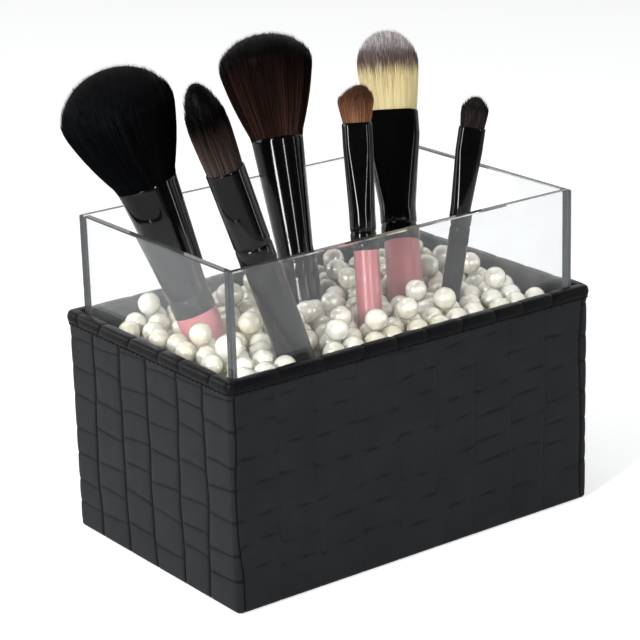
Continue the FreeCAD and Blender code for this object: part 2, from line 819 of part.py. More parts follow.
def build_bead_bed():
    """The packed beads as one block, with a pocket for each buried handle."""
    block = doc.addObject("Part::Box", "BedBlock")
    bind(block, "Length", length_at(BED_OUT))
    bind(block, "Width", depth_at(BED_OUT))
    bind(block, "Height", BED_TOP + " - " + BED_BOTTOM)
    bind(block, "Placement.Base.x", "-" + length_at(BED_OUT) + " / 2")
    bind(block, "Placement.Base.y", "-" + depth_at(BED_OUT) + " / 2")
    bind(block, "Placement.Base.z", BED_BOTTOM)
    pockets = []
    for brush in BRUSHES:
        hole = doc.addObject("Part::Cylinder", brush.capitalize() + "Pocket")
        bind(hole, "Radius", brush + "_handle_width / 2 + pocket_clearance")
        bind(hole, "Height", brush + "_buried + pocket_clearance + bead_diameter")
        place = brush_placement(brush)
        drop = place.Rotation.multVec(Vector(0, 0, -size("pocket_clearance")))
        hole.Placement = FreeCAD.Placement(place.Base + drop, place.Rotation)
        pockets.append(hole)
    bores = doc.addObject("Part::MultiFuse", "HandlePockets")
    bores.Shapes = pockets
    bed = doc.addObject("Part::Cut", "BeadBed")
    bed.Base = block
    bed.Tool = bores
    doc.recompute()
    keep(bed, "bead_bed")


def make_bead(flats):
    """A bead with few faces: a cube bevelled until every face is as far from its centre."""
    cube = Part.makeBox(flats, flats, flats)
    bevel = flats / (2 + math.sqrt(2))
    bead = cube.makeChamfer(bevel, cube.Edges)
    bead.translate(Vector(-flats / 2, -flats / 2, -flats / 2))
    return bead


def rest_height(flats, across_x, across_y):
    """How far above a bead's centre another one's centre lies when it rests there.

    Both are the same shape, turned the same way, so they touch where half of the step
    between their centres meets the bead's own surface. None is given clear of the bead.
    """
    x = abs(across_x) / 2
    y = abs(across_y) / 2
    face = flats / 2
    slant = face * math.sqrt(2)
    corner = face * (3 + math.sqrt(2)) / (1 + math.sqrt(2))
    if max(x, y) >= face or x + y >= slant:
        return None
    return 2 * min(face, slant - x, slant - y, corner - x - y)


def brush_stems(bead_reach):
    """Each brush's line, and how far a bead's centre keeps off it to let it slide out."""
    stems = []
    for brush in BRUSHES:
        entry, direction = brush_axis(brush)
        widest = size(brush + "_handle_width / 2 + ferrule_lip + bead_gap")
        stems.append((entry, direction, bead_reach + widest))
    return stems


def short_of_stem(centre, stem):
    """How much too near a brush a bead lies, and the level way out."""
    entry, direction, keep_off = stem
    across = (centre - entry) - direction * (centre - entry).dot(direction)
    level = Vector(across.x, across.y, 0)
    return keep_off - across.Length, level.normalize()


def is_clear(centre, others, spacing, stems):
    """True where a bead is off every brush and a spacing from each other bead."""
    if any(short_of_stem(centre, stem)[0] > 0 for stem in stems):
        return False
    return all((centre - other).Length >= spacing for other in others)


def spread(centres, spacing, half_x, half_y, stems):
    """Pushes level bead centres apart, off the brushes and inside the liner."""
    for turn in range(SETTLING_TURNS):
        for index, centre in enumerate(centres):
            for other in centres[index + 1:]:
                away = other - centre
                if abs(away.x) < spacing and abs(away.y) < spacing and away.Length < spacing:
                    push = away * (spacing / away.Length - 1) / 2
                    other.x += push.x
                    other.y += push.y
                    centre.x -= push.x
                    centre.y -= push.y
        for centre in centres:
            for stem in stems:
                short, way_out = short_of_stem(centre, stem)
                if short > -0.01:
                    centre.x += way_out.x * (short + 0.05)
                    centre.y += way_out.y * (short + 0.05)
            centre.x = max(-half_x, min(half_x, centre.x))
            centre.y = max(-half_y, min(half_y, centre.y))


def lowest_layer(level, spacing, half_x, half_y, stems):
    """Loose beads lying on the bed: rows, shaken about, pushed apart, and the gaps filled."""
    pitch = spacing * BEAD_LOOSENESS
    row_pitch = pitch * math.sqrt(3) / 2
    shaken = random.Random(BEAD_SEED)
    rows = int(2 * half_y / row_pitch) + 1
    centres = []
    for row in range(rows):
        columns = int(2 * half_x / pitch) + 1 - row % 2
        for column in range(columns):
            drift_x = shaken.uniform(-BEAD_SHAKE, BEAD_SHAKE) * spacing
            drift_y = shaken.uniform(-BEAD_SHAKE, BEAD_SHAKE) * spacing
            x = (column - (columns - 1) / 2) * pitch + drift_x
            y = (row - (rows - 1) / 2) * row_pitch + drift_y
            centre = Vector(x, y, level)
            if all(short_of_stem(centre, stem)[0] < spacing / 4 for stem in stems):
                centres.append(centre)
    spread(centres, spacing * 1.002, half_x, half_y, stems)
    for trial in range(FILLING_TRIALS):
        x = shaken.uniform(-half_x, half_x)
        y = shaken.uniform(-half_y, half_y)
        centres.append(Vector(x, y, level))
    kept = []
    for centre in centres:
        if is_clear(centre, kept, spacing, stems):
            kept.append(centre)
    return kept


def middle_of(a, b, c):
    """The level point that is as far from each of three beads, and that distance."""
    double = 2 * ((b.x - a.x) * (c.y - a.y) - (c.x - a.x) * (b.y - a.y))
    if abs(double) < 1:
        return None, None
    b_square = (b.x - a.x) ** 2 + (b.y - a.y) ** 2
    c_square = (c.x - a.x) ** 2 + (c.y - a.y) ** 2
    x = ((c.y - a.y) * b_square - (b.y - a.y) * c_square) / double
    y = ((b.x - a.x) * c_square - (c.x - a.x) * b_square) / double
    return a + Vector(x, y, 0), math.hypot(x, y)


def upper_layer(layer, flats, spacing, half_x, half_y, stems):
    """A few more beads, each lying in a hollow between three of the lowest layer."""
    reach = 1.5 * spacing
    hollows = []
    for first, a in enumerate(layer):
        near = [other for other in layer[first + 1:] if (other - a).Length < reach]
        for index, b in enumerate(near):
            for c in near[index + 1:]:
                middle, away = middle_of(a, b, c)
                if middle is not None and away < 0.68 * spacing:
                    if abs(middle.x) < half_x and abs(middle.y) < half_y:
                        hollows.append(middle)
    random.Random(BEAD_SEED).shuffle(hollows)
    kept = []
    for middle in hollows:
        heights = [rest_height(flats, middle.x - low.x, middle.y - low.y) for low in layer]
        middle.z += max(height for height in heights if height is not None)
        if is_clear(middle, kept, UPPER_SPACING * spacing, stems):
            kept.append(middle)
    return kept


def build_top_beads():
    """Loose beads on the bed, and a few more lying in the hollows between them.

    Each bead's flats lie as far inside the round bead as its corners lie outside.
    """
    diameter = size("bead_diameter")
    corner_reach = math.sqrt(1 + 2 / (1 + math.sqrt(2)) ** 2)
    flats = 2 * diameter / (1 + corner_reach)
    bead = make_bead(flats)
    half_x = size(length_at(LINER_IN)) / 2 - size("bead_gap") - diameter / 2
    half_y = size(depth_at(LINER_IN)) / 2 - size("bead_gap") - diameter / 2
    spacing = size("bead_diameter + bead_gap")
    stems = brush_stems(flats * corner_reach / 2)
    level = size(BED_TOP) + flats / 2
    layer = lowest_layer(level, spacing, half_x, half_y, stems)
    upper = upper_layer(layer, flats, spacing, half_x, half_y, stems)
    beads = []
    for centre in layer + upper:
        copy = bead.copy()
        copy.translate(centre)
        beads.append(copy)
    item = doc.addObject("Part::Feature", "TopBeads")
    item.Shape = Part.makeCompound(beads)
    keep(item, "top_beads")


# ---------------------------------------------------------------- build it all

build_outer_wrap()
build_rim_binding()
build_long_board("FrontBoard", "front_board", -1)
build_long_board("RearBoard", "rear_board", 1)
build_end_board("LeftBoard", "left_board", -1)
build_end_board("RightBoard", "right_board", 1)
build_base_board()
build_wall_lining()
build_sheet(
    "FloorLining", "floor_lining", BASE_TOP,
    length_at(LINING_IN), depth_at(LINING_IN), "opening_corner", "lining_thickness",
)
build_sheet(
    "BasePad", "base_pad", "0",
    length_at("pad_margin"), depth_at("pad_margin"), "pad_corner", "pad_thickness",
)
build_clear_walls()
build_bead_bed()
build_top_beads()
for brush in BRUSHES:
    build_handle(brush)
    if brush in FLAT_BRUSHES:
        build_flat_ferrule(brush)
    else:
        build_round_ferrule(brush)
    build_head(brush)
doc.recompute()

# ------------------------------------------------------------- check and export

for item in doc.Objects:
    if "Invalid" in item.State or "Error" in item.State:
        raise RuntimeError(item.Name + " failed: " + ", ".join(item.State))
for item in parts:
    if item.Shape.isNull() or not item.Shape.isValid():
        raise RuntimeError(item.Label + " has no valid shape")
os.makedirs("parts", exist_ok=True)
for item in parts:
    item.Shape.exportStep("parts/" + item.Label + ".step")
print(len(parts), "parts written")
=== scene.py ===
import json
import math

import bpy
import numpy as np
from bpy.props import FloatProperty, FloatVectorProperty, IntProperty, PointerProperty
from mathutils import Matrix, Vector


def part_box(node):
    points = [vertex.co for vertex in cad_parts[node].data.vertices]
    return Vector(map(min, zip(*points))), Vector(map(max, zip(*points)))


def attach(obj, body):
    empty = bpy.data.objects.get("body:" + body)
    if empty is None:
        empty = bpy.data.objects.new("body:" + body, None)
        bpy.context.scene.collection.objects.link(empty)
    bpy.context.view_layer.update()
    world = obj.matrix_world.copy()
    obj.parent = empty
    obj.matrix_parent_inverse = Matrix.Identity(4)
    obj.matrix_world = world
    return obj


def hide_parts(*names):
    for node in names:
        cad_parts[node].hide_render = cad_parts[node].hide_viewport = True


bl_info = {
    "name": "Brush holder finish",
    "version": (1, 0, 0),
    "blender": (4, 5, 0),
    "location": "View3D > Sidebar > Brush holder",
    "description": "Embossed case, clear liner, pearl beads and six brushes on their CAD frame",
    "category": "Object",
}

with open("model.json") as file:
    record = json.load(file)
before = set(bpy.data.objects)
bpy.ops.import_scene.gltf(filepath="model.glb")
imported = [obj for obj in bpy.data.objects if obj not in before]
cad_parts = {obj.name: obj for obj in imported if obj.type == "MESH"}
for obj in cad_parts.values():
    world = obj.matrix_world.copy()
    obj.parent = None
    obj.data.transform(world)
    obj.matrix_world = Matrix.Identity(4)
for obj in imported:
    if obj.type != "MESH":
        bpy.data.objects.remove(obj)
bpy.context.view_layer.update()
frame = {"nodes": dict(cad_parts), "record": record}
MM = 0.001

BRUSHES = ("powder", "tapered", "blush", "shader", "foundation", "eye")
FLAT_BRUSHES = ("shader", "foundation", "eye")
PINK_HANDLES = ("powder", "shader", "foundation")
CLEAR_NODES = ("acrylic_front", "acrylic_rear", "acrylic_left", "acrylic_right", "acrylic_floor")
LINING_NODES = ("wall_lining", "floor_lining")
BOARD_NODES = ("front_board", "rear_board", "left_board", "right_board", "base_board")

# How far the broad side of each flat brush is turned about its own axis, in degrees.
BROAD_SIDE = {"shader": -36.0, "foundation": -34.0, "eye": -39.0}

# Hair colours from the ferrule to the tips: (how far up, colour), in linear light.
HAIR_TONES = {
    # Powder: a little darker towards the tips, painted shade where the lamps light the crown.
    "powder": ((0.0, (0.0038, 0.0042, 0.0050)), (1.0, (0.0034, 0.0036, 0.0042))),
    "tapered": (
        (0.0, (0.200, 0.145, 0.125)),
        (0.3, (0.120, 0.080, 0.065)),
        (0.55, (0.005, 0.004, 0.0035)),
        (1.0, (0.0024, 0.0022, 0.0022)),
    ),
    "blush": (
        (0.0, (0.150, 0.070, 0.054)),
        (0.4, (0.080, 0.035, 0.027)),
        (0.75, (0.010, 0.006, 0.006)),
        (1.0, (0.003, 0.0025, 0.0025)),
    ),
    "shader": (
        (0.0, (0.540, 0.240, 0.120)),
        (0.6, (0.320, 0.128, 0.060)),
        (1.0, (0.140, 0.058, 0.032)),
    ),
    "foundation": (
        (0.0, (1.000, 0.860, 0.490)),
        (0.44, (0.980, 0.830, 0.460)),
        (0.55, (0.260, 0.160, 0.135)),
        (0.64, (0.240, 0.165, 0.155)),
        (0.78, (0.600, 0.540, 0.530)),
        (1.0, (0.740, 0.700, 0.690)),
    ),
    "eye": (
        (0.0, (0.034, 0.026, 0.024)),
        (0.6, (0.046, 0.036, 0.034)),
        (1.0, (0.065, 0.055, 0.05)),
    ),
}

# Strands on each brush: (round the flank, over the crown).
HAIR_COUNTS = {
    "powder": (1500, 3600),
    "tapered": (900, 900),
    "blush": (1400, 3000),
    "shader": (700, 900),
    "foundation": (2300, 1800),
    "eye": (500, 600),
}

# How much darker the darkest strand is, and how rare the pale ones are.
HAIR_SPREAD = {
    "powder": (0.5, 1), "tapered": (0.85, 3), "blush": (0.85, 3),
    "shader": (0.75, 2), "foundation": (0.3, 1), "eye": (0.7, 2),
}
HAIR_GLOSS = {
    "powder": 0.02, "tapered": 0.05, "blush": 0.03, "shader": 0.12, "foundation": 0.2, "eye": 0.1,
}
HAIR_SLOTS = {
    "powder": "hair_black", "tapered": "hair_dark", "blush": "hair_dark",
    "shader": "hair_tan", "foundation": "hair_cream", "eye": "hair_dark",
}

# How much higher one side of a crown stands than its middle, as a share of the crown.
CROWN_SLANT = {"shader": 0.3}

# Embossing by wall: (on the short walls, on the long walls); the shade entries paint shade into
# the grooves, more on the short walls than on the long ones.
UPRIGHT_DEPTH = (1.0, 0.6)
UPRIGHT_SHADE = (1.0, 0.1)
CROSS_DEPTH = (1.0, 0.75)
CROSS_LEAST = (0.8, 0.0)
GROOVE_SHADE = (2.0, 1.5)

# Rolled rings of the ferrules: heights above the foot, depth, and one step of their curve.
CRIMPS = {"shader": (3.2 * MM, 6.8 * MM)}
ONE_CRIMP = (6.8 * MM,)
CRIMP_DEPTH = 0.32 * MM
CRIMP_STEP = 0.25

# Strands: how far out they stand over the crown and how far in round the flank (as shares),
# how uneven their tips are, how deep their roots are, and how far their tips lean.
CROWN_REACH = 0.985
FLANK_DEPTH = 0.12
TIP_NOISE = 0.009
TIP_REACH = 0.0004
ROOT_DEPTH = 0.002
CORE_DEPTH = 0.004
STRAND_LEAN = 0.00035

# Faces round a handle, a ferrule and a bundle of hair.
HANDLE_SIDES = 48
FERRULE_SIDES = 72
BUNDLE_SIDES = 72

# Points nearer than this are one point: on a sheet, and on a turned piece.
SHEET_GAP = 2e-6
TUBE_GAP = 2e-5

# Lamps: (name, azimuth, elevation, distance, width, height, power).
LAMPS = (
    ("left_strip", 70, 22, 1.25, 0.2, 0.42, 12.5),
    ("right_strip", 10, 22, 1.25, 0.07, 0.42, 3.1),
    ("edge_strip", -48, 12, 1.25, 0.06, 0.6, 1.2),
    ("rear_lamp", 135, 14, 1.25, 0.7, 0.4, 3.2),
    ("top_lamp", 160, 70, 1.3, 0.6, 0.4, 2.8),
)
LAMP_AIM = (0, 0, 0.06)

# The middle of the view, the camera's sensor in millimetres, and what it can see of the scene.
VIEW_AIM = (-0.004962, 0.0, 0.081193)
SENSOR_WIDTH = 36
CAMERA_CLIP = (0.01, 50)

# The sky's strength, and the side on which gloss shows the white backdrop.
PLAIN_LEVEL = 0.26
BACKDROP_SIDE = (0.6, 0.8, 0.0)
WHITE = (1, 1, 1, 1)


# ------------------------------------------------------------------ settings


def length(name, description, default):
    """A setting that is a length, in metres."""
    return FloatProperty(name=name, description=description, default=default, unit="LENGTH")


def number(name, description, default):
    """A setting that is a plain number."""
    return FloatProperty(name=name, description=description, default=default)


def colour(name, description, default):
    """A setting that is a colour, in linear light."""
    return FloatVectorProperty(
        name=name, description=description, default=default, subtype="COLOR", min=0, max=1
    )


class LeatherSettings(bpy.types.PropertyGroup):
    cell_width: length("Cell width", "Average embossed cell along the wall", 0.0186)
    cell_height: length("Cell height", "Average embossed cell up the wall", 0.0105)
    groove_depth: length("Groove depth", "Depth of the grooves between cells", 0.0004)
    groove_width: length("Groove width", "Half width of a groove", 0.00046)
    pillow: length("Pillow", "How far the middle of a cell swells", 0.00016)
    skin: length("Skin", "Thickness of the wrap", 0.0009)
    hem: length("Hem", "Wrap turned under the base", 0.012)
    hem_round: length("Hem round", "Radius of the turned bottom edge", 0.0014)
    corner: length("Corner", "Radius of the upright corners", 0.0025)
    band_height: length("Band height", "Rim band seen from outside", 0.0046)
    band_roll: length("Band roll", "Radius of the rim band's turned edges", 0.0017)
    stitch_pitch: length("Stitch pitch", "From one stitch to the next", 0.0028)
    stitch_length: length("Stitch length", "Thread that shows in one stitch", 0.0021)
    skin_colour: colour("Skin colour", "Leather on the cells", (0.0150, 0.0168, 0.0196))
    band_colour: colour("Band colour", "Leather turned over the rim", (0.0045, 0.0048, 0.0056))
    # Painted shade: the dark colour that the grooves are painted towards.
    groove_shade_colour: colour("Groove colour", "Leather down in the grooves", (0.0012, 0.0013, 0.0016))
    lining_colour: colour("Lining colour", "Smooth sheet inside the case", (0.02, 0.0205, 0.0215))


class LinerSettings(bpy.types.PropertyGroup):
    clear_colour: colour("Clear sheet", "Tint of the clear sheet", (0.965, 0.975, 0.98))
    clarity: number("Clarity", "Light that passes", 0.988)
    refraction: number("Refraction", "Index of the clear sheet", 1.44)


class BeadSettings(bpy.types.PropertyGroup):
    diameter: length("Bead diameter", "Across one bead", 0.009)
    pearl_colour: colour("Pearl colour", "Coating of the beads", (0.68, 0.655, 0.565))
    shade_colour: colour("Shade colour", "Warmer patches of the coating", (0.62, 0.57, 0.43))
    seed: IntProperty(name="Seed", description="Which heap is made", default=7)


class HandleSettings(bpy.types.PropertyGroup):
    pink: colour("Pink", "Satin lacquer", (0.41, 0.130, 0.135))
    black: colour("Black", "Gloss lacquer", (0.002, 0.002, 0.0023))


class FerruleSettings(bpy.types.PropertyGroup):
    collar: length("Collar", "Straight lower part", 0.012)
    wall: length("Wall", "Sheet metal", 0.0006)
    lip: length("Lip", "Rounding of the mouth's edge", 0.0002)
    pinch: length("Pinch", "Round lower part of a flat brush's ferrule", 0.014)
    flat_band: length("Flat band", "Part of a flat ferrule that is pinched evenly", 0.0095)
    bulge: number("Bulge", "Depth of the mouth before its faces are pressed flat", 1.3)
    metal: colour("Metal", "Black plated metal", (0.0015, 0.0015, 0.0018))


class HairSettings(bpy.types.PropertyGroup):
    strand: length("Strand", "Radius of one strand at its root", 0.00013)
    inset: length("Inset", "Depth of the solid bundle under the strands", 0.0007)
    visible: length("Visible", "Length of a strand over the crown", 0.009)
    ragged: number("Ragged", "How unevenly the colours meet", 0.05)
    seed: IntProperty(name="Seed", description="Which strands are laid", default=11)


class StageSettings(bpy.types.PropertyGroup):
    azimuth: number("Azimuth", "Camera round the case, in degrees", -36.395)
    elevation: number("Elevation", "Camera's height angle, in degrees", 18.635)
    roll: number("Roll", "Camera's tilt, in degrees", -1.622)
    distance: length("Distance", "Camera to the middle of the view", 0.92666)
    lens: number("Lens", "Focal length in millimetres", 135.43)
    floor_colour: colour("Floor", "Table and backdrop", (0.8, 0.8, 0.8))
    floor_lift: number("Floor lift", "White added to the floor", 0.6)


# -------------------------------------------------------------------- helpers


def deselect_all():
    """Back to object mode, with nothing selected."""
    if bpy.context.object is not None and bpy.context.object.mode != "OBJECT":
        bpy.ops.object.mode_set(mode="OBJECT")
    bpy.ops.object.select_all(action="DESELECT")


def activate(piece):
    """Selects one piece alone."""
    deselect_all()
    piece.select_set(True)
    bpy.context.view_layer.objects.active = piece


def edit_all(piece):
    """Opens a piece in edit mode with all of it selected."""
    activate(piece)
    bpy.ops.object.mode_set(mode="EDIT")
    bpy.ops.mesh.select_all(action="SELECT")


def end_edit():
    """Closes edit mode."""
    bpy.ops.object.mode_set(mode="OBJECT")


def close_up(piece, gap):
    """Merges doubles and turns every face outwards."""
    edit_all(piece)
    bpy.ops.mesh.remove_doubles(threshold=gap)
    bpy.ops.mesh.normals_make_consistent(inside=False)
    end_edit()


def smooth(piece, angle):
    """Shades a piece smooth, but for edges sharper than an angle in degrees."""
    activate(piece)
    bpy.ops.object.shade_smooth_by_angle(angle=math.radians(angle))


def dress(piece, material):
    """Gives a piece its finish."""
    piece.data.materials.clear()
    piece.data.materials.append(material)


def dress_nodes(names, material):
    """Gives CAD nodes their finish, and leaves their shapes alone."""
    for name in names:
        dress(frame["nodes"][name], material)


def hang(piece, name, body, slot, material, replaced=()):
    """Names a finished piece, gives it its finish and hangs it on its body."""
    piece.name = name
    piece.data.name = name
    dress(piece, material)
    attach(piece, body)
    if replaced:
        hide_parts(*replaced)


def mesh_points(mesh):
    """A mesh's points, as rows of an array."""
    points = np.empty(len(mesh.vertices) * 3)
    mesh.vertices.foreach_get("co", points)
    return points.reshape(-1, 3)


def set_points(mesh, points):
    """Moves a mesh's points, given as rows of an array."""
    mesh.vertices.foreach_set("co", points.reshape(-1))
    mesh.update()


def mesh_faces(mesh):
    """Each face of a mesh, by the numbers of its points."""
    return [tuple(face.vertices) for face in mesh.polygons]


def shifted(faces, first):
    """The same faces, for points that are numbered from first on."""
    return [tuple(first + corner for corner in face) for face in faces]


def wrap_sheet(points):
    """A flat grid of faces, laid over an array of points, rows by columns."""
    rows, columns = points.shape[:2]
    deselect_all()
    bpy.ops.mesh.primitive_grid_add(x_subdivisions=columns - 1, y_subdivisions=rows - 1, size=1)
    sheet = bpy.context.object
    set_points(sheet.data, points)
    return sheet


def set_attribute(piece, name, values):
    """Writes one number to each point of a piece, for its material to read."""
    layer = piece.data.attributes.new(name, "FLOAT", "POINT")
    layer.data.foreach_set("value", np.asarray(values, dtype=np.float32))


def mesh_from(name, points, faces):
    """A new piece from its points and faces."""
    mesh = bpy.data.meshes.new(name)
    mesh.from_pydata(points.tolist(), [], faces)
    piece = bpy.data.objects.new(name, mesh)
    bpy.context.collection.objects.link(piece)
    return piece


def scatter(name, source, places):
    """Copies a modelled piece to many places in one mesh, and removes the model."""
    points = mesh_points(source.data)
    points = np.c_[points, np.ones(len(points))]
    faces = mesh_faces(source.data)
    all_points = []
    all_faces = []
    for index, place in enumerate(places):
        all_points.append((points @ np.array(place).T)[:, :3])
        all_faces.extend(shifted(faces, index * len(points)))
    copy = mesh_from(name, np.concatenate(all_points), all_faces)
    bpy.data.objects.remove(source)
    copy.data.shade_smooth()
    return copy


def node_points(name):
    """A CAD node's points, as rows of an array."""
    return mesh_points(frame["nodes"][name].data)


def node_triangles(name):
    """The corner numbers of a CAD node's triangles."""
    mesh = frame["nodes"][name].data
    mesh.calc_loop_triangles()
    corners = np.empty(len(mesh.loop_triangles) * 3, dtype=np.int64)
    mesh.loop_triangles.foreach_get("vertices", corners)
    return corners.reshape(-1, 3)


def bead_centres(name):
    """The middle of each separate bead in a CAD node."""
    points, owner = np.unique(np.round(node_points(name), 6), axis=0, return_inverse=True)
    corners = owner.reshape(-1)[node_triangles(name)]
    label = np.arange(len(points))
    while True:
        lowest = label.copy()
        np.minimum.at(lowest, corners, label[corners].min(axis=1)[:, None])
        if (lowest == label).all():
            break
        label = lowest
    centres = []
    for bead in np.unique(label):
        own = points[label == bead]
        centres.append((own.min(axis=0) + own.max(axis=0)) / 2)
    return np.array(centres)


# ------------------------------------------------------------------ materials


class Nodes:
    """Adds and links the nodes of a material or of the world."""

    def __init__(self, tree):
        self.tree = tree

    def node(self, kind, **values):
        """A new node, with its settings and its inputs by name, spaces written as underscores."""
        made = self.tree.nodes.new("ShaderNode" + kind)
        for name, value in values.items():
            if name in made.bl_rna.properties:
                setattr(made, name, value)
            else:
                made.inputs[name.replace("_", " ")].default_value = value
        return made

    def link(self, output, target):
        self.tree.links.new(output, target)

    def feed(self, target, value):
        """Gives an input a number or colour, or links it to an output."""
        if isinstance(value, bpy.types.NodeSocket):
            self.link(value, target)
        else:
            target.default_value = value

    def math(self, operation, *values):
        """One sum of numbers and outputs."""
        made = self.node("Math", operation=operation)
        for target, value in zip(made.inputs, values):
            self.feed(target, value)
        return made.outputs[0]

    def mixed_shader(self, share, first, second):
        """Two shaders mixed by a share."""
        made = self.node("MixShader")
        self.link(share, made.inputs["Fac"])
        self.link(first, made.inputs[1])
        self.link(second, made.inputs[2])
        return made.outputs["Shader"]


class Finish(Nodes):
    """One procedural material, built round a Principled shader."""

    def __init__(self, name, base, roughness, **sockets):
        self.material = bpy.data.materials.new(name)
        self.material.use_nodes = True
        super().__init__(self.material.node_tree)
        self.shader = self.tree.nodes["Principled BSDF"]
        self.shader.inputs["Base Color"].default_value = (*base, 1)
        self.shader.inputs["Roughness"].default_value = roughness
        for socket, value in sockets.items():
            self.shader.inputs[socket.replace("_", " ")].default_value = value

    def noise(self, scale, detail, roughness=0.5):
        """Noise on the piece's own coordinates, features scale to the metre."""
        place = self.node("TexCoord").outputs["Object"]
        made = self.node("TexNoise", Scale=scale, Detail=detail, Roughness=roughness)
        self.link(place, made.inputs["Vector"])
        return made.outputs["Fac"]

    def cells(self, scale):
        """Distance to the edges of small irregular cells."""
        place = self.node("TexCoord").outputs["Object"]
        made = self.node("TexVoronoi", feature="DISTANCE_TO_EDGE", Scale=scale)
        self.link(place, made.inputs["Vector"])
        return made.outputs["Distance"]

    def ramp(self, value, stops):
        """A colour ramp; each stop is (place, colour) or (place, grey)."""
        made = self.node("ValToRGB")
        elements = made.color_ramp.elements
        while len(elements) < len(stops):
            elements.new(0.5)
        for element, (place, shade) in zip(elements, stops):
            element.position = place
            element.color = (*shade, 1) if hasattr(shade, "__len__") else (shade, shade, shade, 1)
        self.link(value, made.inputs["Fac"])
        return made.outputs["Color"]

    def attribute(self, name):
        """A number written to the piece's points."""
        return self.node("Attribute", attribute_name=name).outputs["Fac"]

    def span(self, value, low, high):
        """Maps 0 to 1 onto low to high."""
        made = self.node("MapRange", To_Min=low, To_Max=high)
        self.link(value, made.inputs["Value"])
        return made.outputs["Result"]

    def mixed(self, share, first, second):
        """Two colours mixed by a share."""
        made = self.node("Mix", data_type="RGBA")
        self.link(share, made.inputs["Factor"])
        self.feed(made.inputs[6], first)
        self.feed(made.inputs[7], second)
        return made.outputs[2]

    def mottle(self, scale, detail, low, high):
        """Colours the piece in soft patches between two stops."""
        self.colour(self.ramp(self.noise(scale, detail), (low, high)))

    def colour(self, output):
        self.link(output, self.shader.inputs["Base Color"])

    def roughness(self, output):
        self.link(output, self.shader.inputs["Roughness"])

    def bump(self, height, distance, strength, below=None):
        """Small relief on top of the modelled shape."""
        made = self.node("Bump", Strength=strength, Distance=distance)
        self.link(height, made.inputs["Height"])
        if below is not None:
            self.link(below, made.inputs["Normal"])
        self.link(made.outputs["Normal"], self.shader.inputs["Normal"])
        return made.outputs["Normal"]


def dimmed(shade, share):
    """A colour with each of its parts multiplied by a share."""
    return [share * part for part in shade]


def leather_finish(name, settings, skin, roughness, gloss):
    """Embossed, finely grained leather; the grooves are darkened with painted shade."""
    finish = Finish(name, skin, roughness, Specular_IOR_Level=gloss)
    groove = finish.attribute("groove")
    mottle = finish.ramp(finish.noise(70, 3), ((0.3, dimmed(skin, 0.75)), (0.7, skin)))
    # Painted shade: the groove attribute mixes the skin towards the groove shade colour.
    finish.colour(finish.mixed(groove, mottle, (*settings.groove_shade_colour, 1)))
    finish.roughness(finish.span(finish.noise(220, 5, 0.6), 0.8 * roughness, 1.2 * roughness))
    pores = finish.bump(finish.ramp(finish.cells(1500), ((0.0, 0.0), (0.25, 1.0))), 0.00006, 0.35)
    finish.bump(finish.noise(420, 6, 0.65), 0.00025, 0.3, below=pores)
    return finish.material


def lining_finish(settings):
    """Smooth matt sheet with a fine woven grain."""
    finish = Finish("lining_sheet", settings.lining_colour, 0.6, Specular_IOR_Level=0.35)
    plain = settings.lining_colour
    finish.mottle(45, 3, (0.25, dimmed(plain, 0.8)), (0.75, plain))
    finish.roughness(finish.span(finish.noise(600, 3), 0.5, 0.7))
    finish.bump(finish.noise(1600, 4, 0.6), 0.0001, 0.35)
    return finish.material


def board_finish():
    """Grey pressed board."""
    finish = Finish("pressed_board", (0.2, 0.18, 0.16), 0.85)
    finish.mottle(380, 6, (0.3, (0.14, 0.13, 0.12)), (0.7, (0.26, 0.24, 0.21)))
    finish.bump(finish.noise(900, 5), 0.0001, 0.4)
    return finish.material


def felt_finish():
    """Black felt sheet under the base."""
    finish = Finish("base_felt", (0.02, 0.02, 0.02), 0.95, Sheen_Weight=0.3)
    finish.mottle(900, 6, (0.3, 0.008), (0.7, 0.04))
    finish.bump(finish.noise(1800, 5), 0.0002, 0.6)
    return finish.material


def thread_finish():
    """Black stitching thread."""
    finish = Finish("stitch_thread", (0.006, 0.006, 0.007), 0.5, Specular_IOR_Level=0.15)
    finish.mottle(1500, 3, (0.3, 0.003), (0.7, (0.012, 0.012, 0.013)))
    finish.bump(finish.noise(2500, 3), 0.0001, 0.5)
    return finish.material


def clear_finish(settings):
    """Clear sheet that lets lamps through, faintly uneven on its polished faces."""
    finish = Finish(
        "clear_sheet", settings.clear_colour, 0.015,
        Transmission_Weight=settings.clarity, IOR=settings.refraction,
    )
    finish.bump(finish.noise(60, 2), 0.0002, 0.02)
    lamps = finish.node("BsdfTransparent", Color=(0.9, 0.91, 0.92, 1))
    shadow = finish.node("LightPath").outputs["Is Shadow Ray"]
    mix = finish.mixed_shader(shadow, finish.shader.outputs["BSDF"], lamps.outputs["BSDF"])
    finish.link(mix, finish.tree.nodes["Material Output"].inputs["Surface"])
    return finish.material


def pearl_finish(settings):
    """Ivory coating over a soft core: glossy, with faint warm patches."""
    finish = Finish(
        "pearl_coating", settings.pearl_colour, 0.26,
        Metallic=0.18, Coat_Weight=1.0, Coat_Roughness=0.2, Specular_IOR_Level=1.0,
    )
    finish.mottle(60, 2, (0.35, settings.shade_colour), (0.6, settings.pearl_colour))
    finish.roughness(finish.span(finish.noise(300, 3), 0.22, 0.3))
    finish.bump(finish.noise(500, 3), 0.0001, 0.03)
    return finish.material


def lacquer_finish(name, shade, roughness, gloss):
    """Sprayed handle lacquer with a slight orange-peel surface."""
    finish = Finish(name, shade, roughness, Specular_IOR_Level=gloss)
    finish.mottle(60, 3, (0.3, dimmed(shade, 0.93)), (0.7, shade))
    finish.roughness(finish.span(finish.noise(250, 4), roughness * 0.85, roughness * 1.25))
    finish.bump(finish.noise(700, 3), 0.00008, 0.1)
    return finish.material


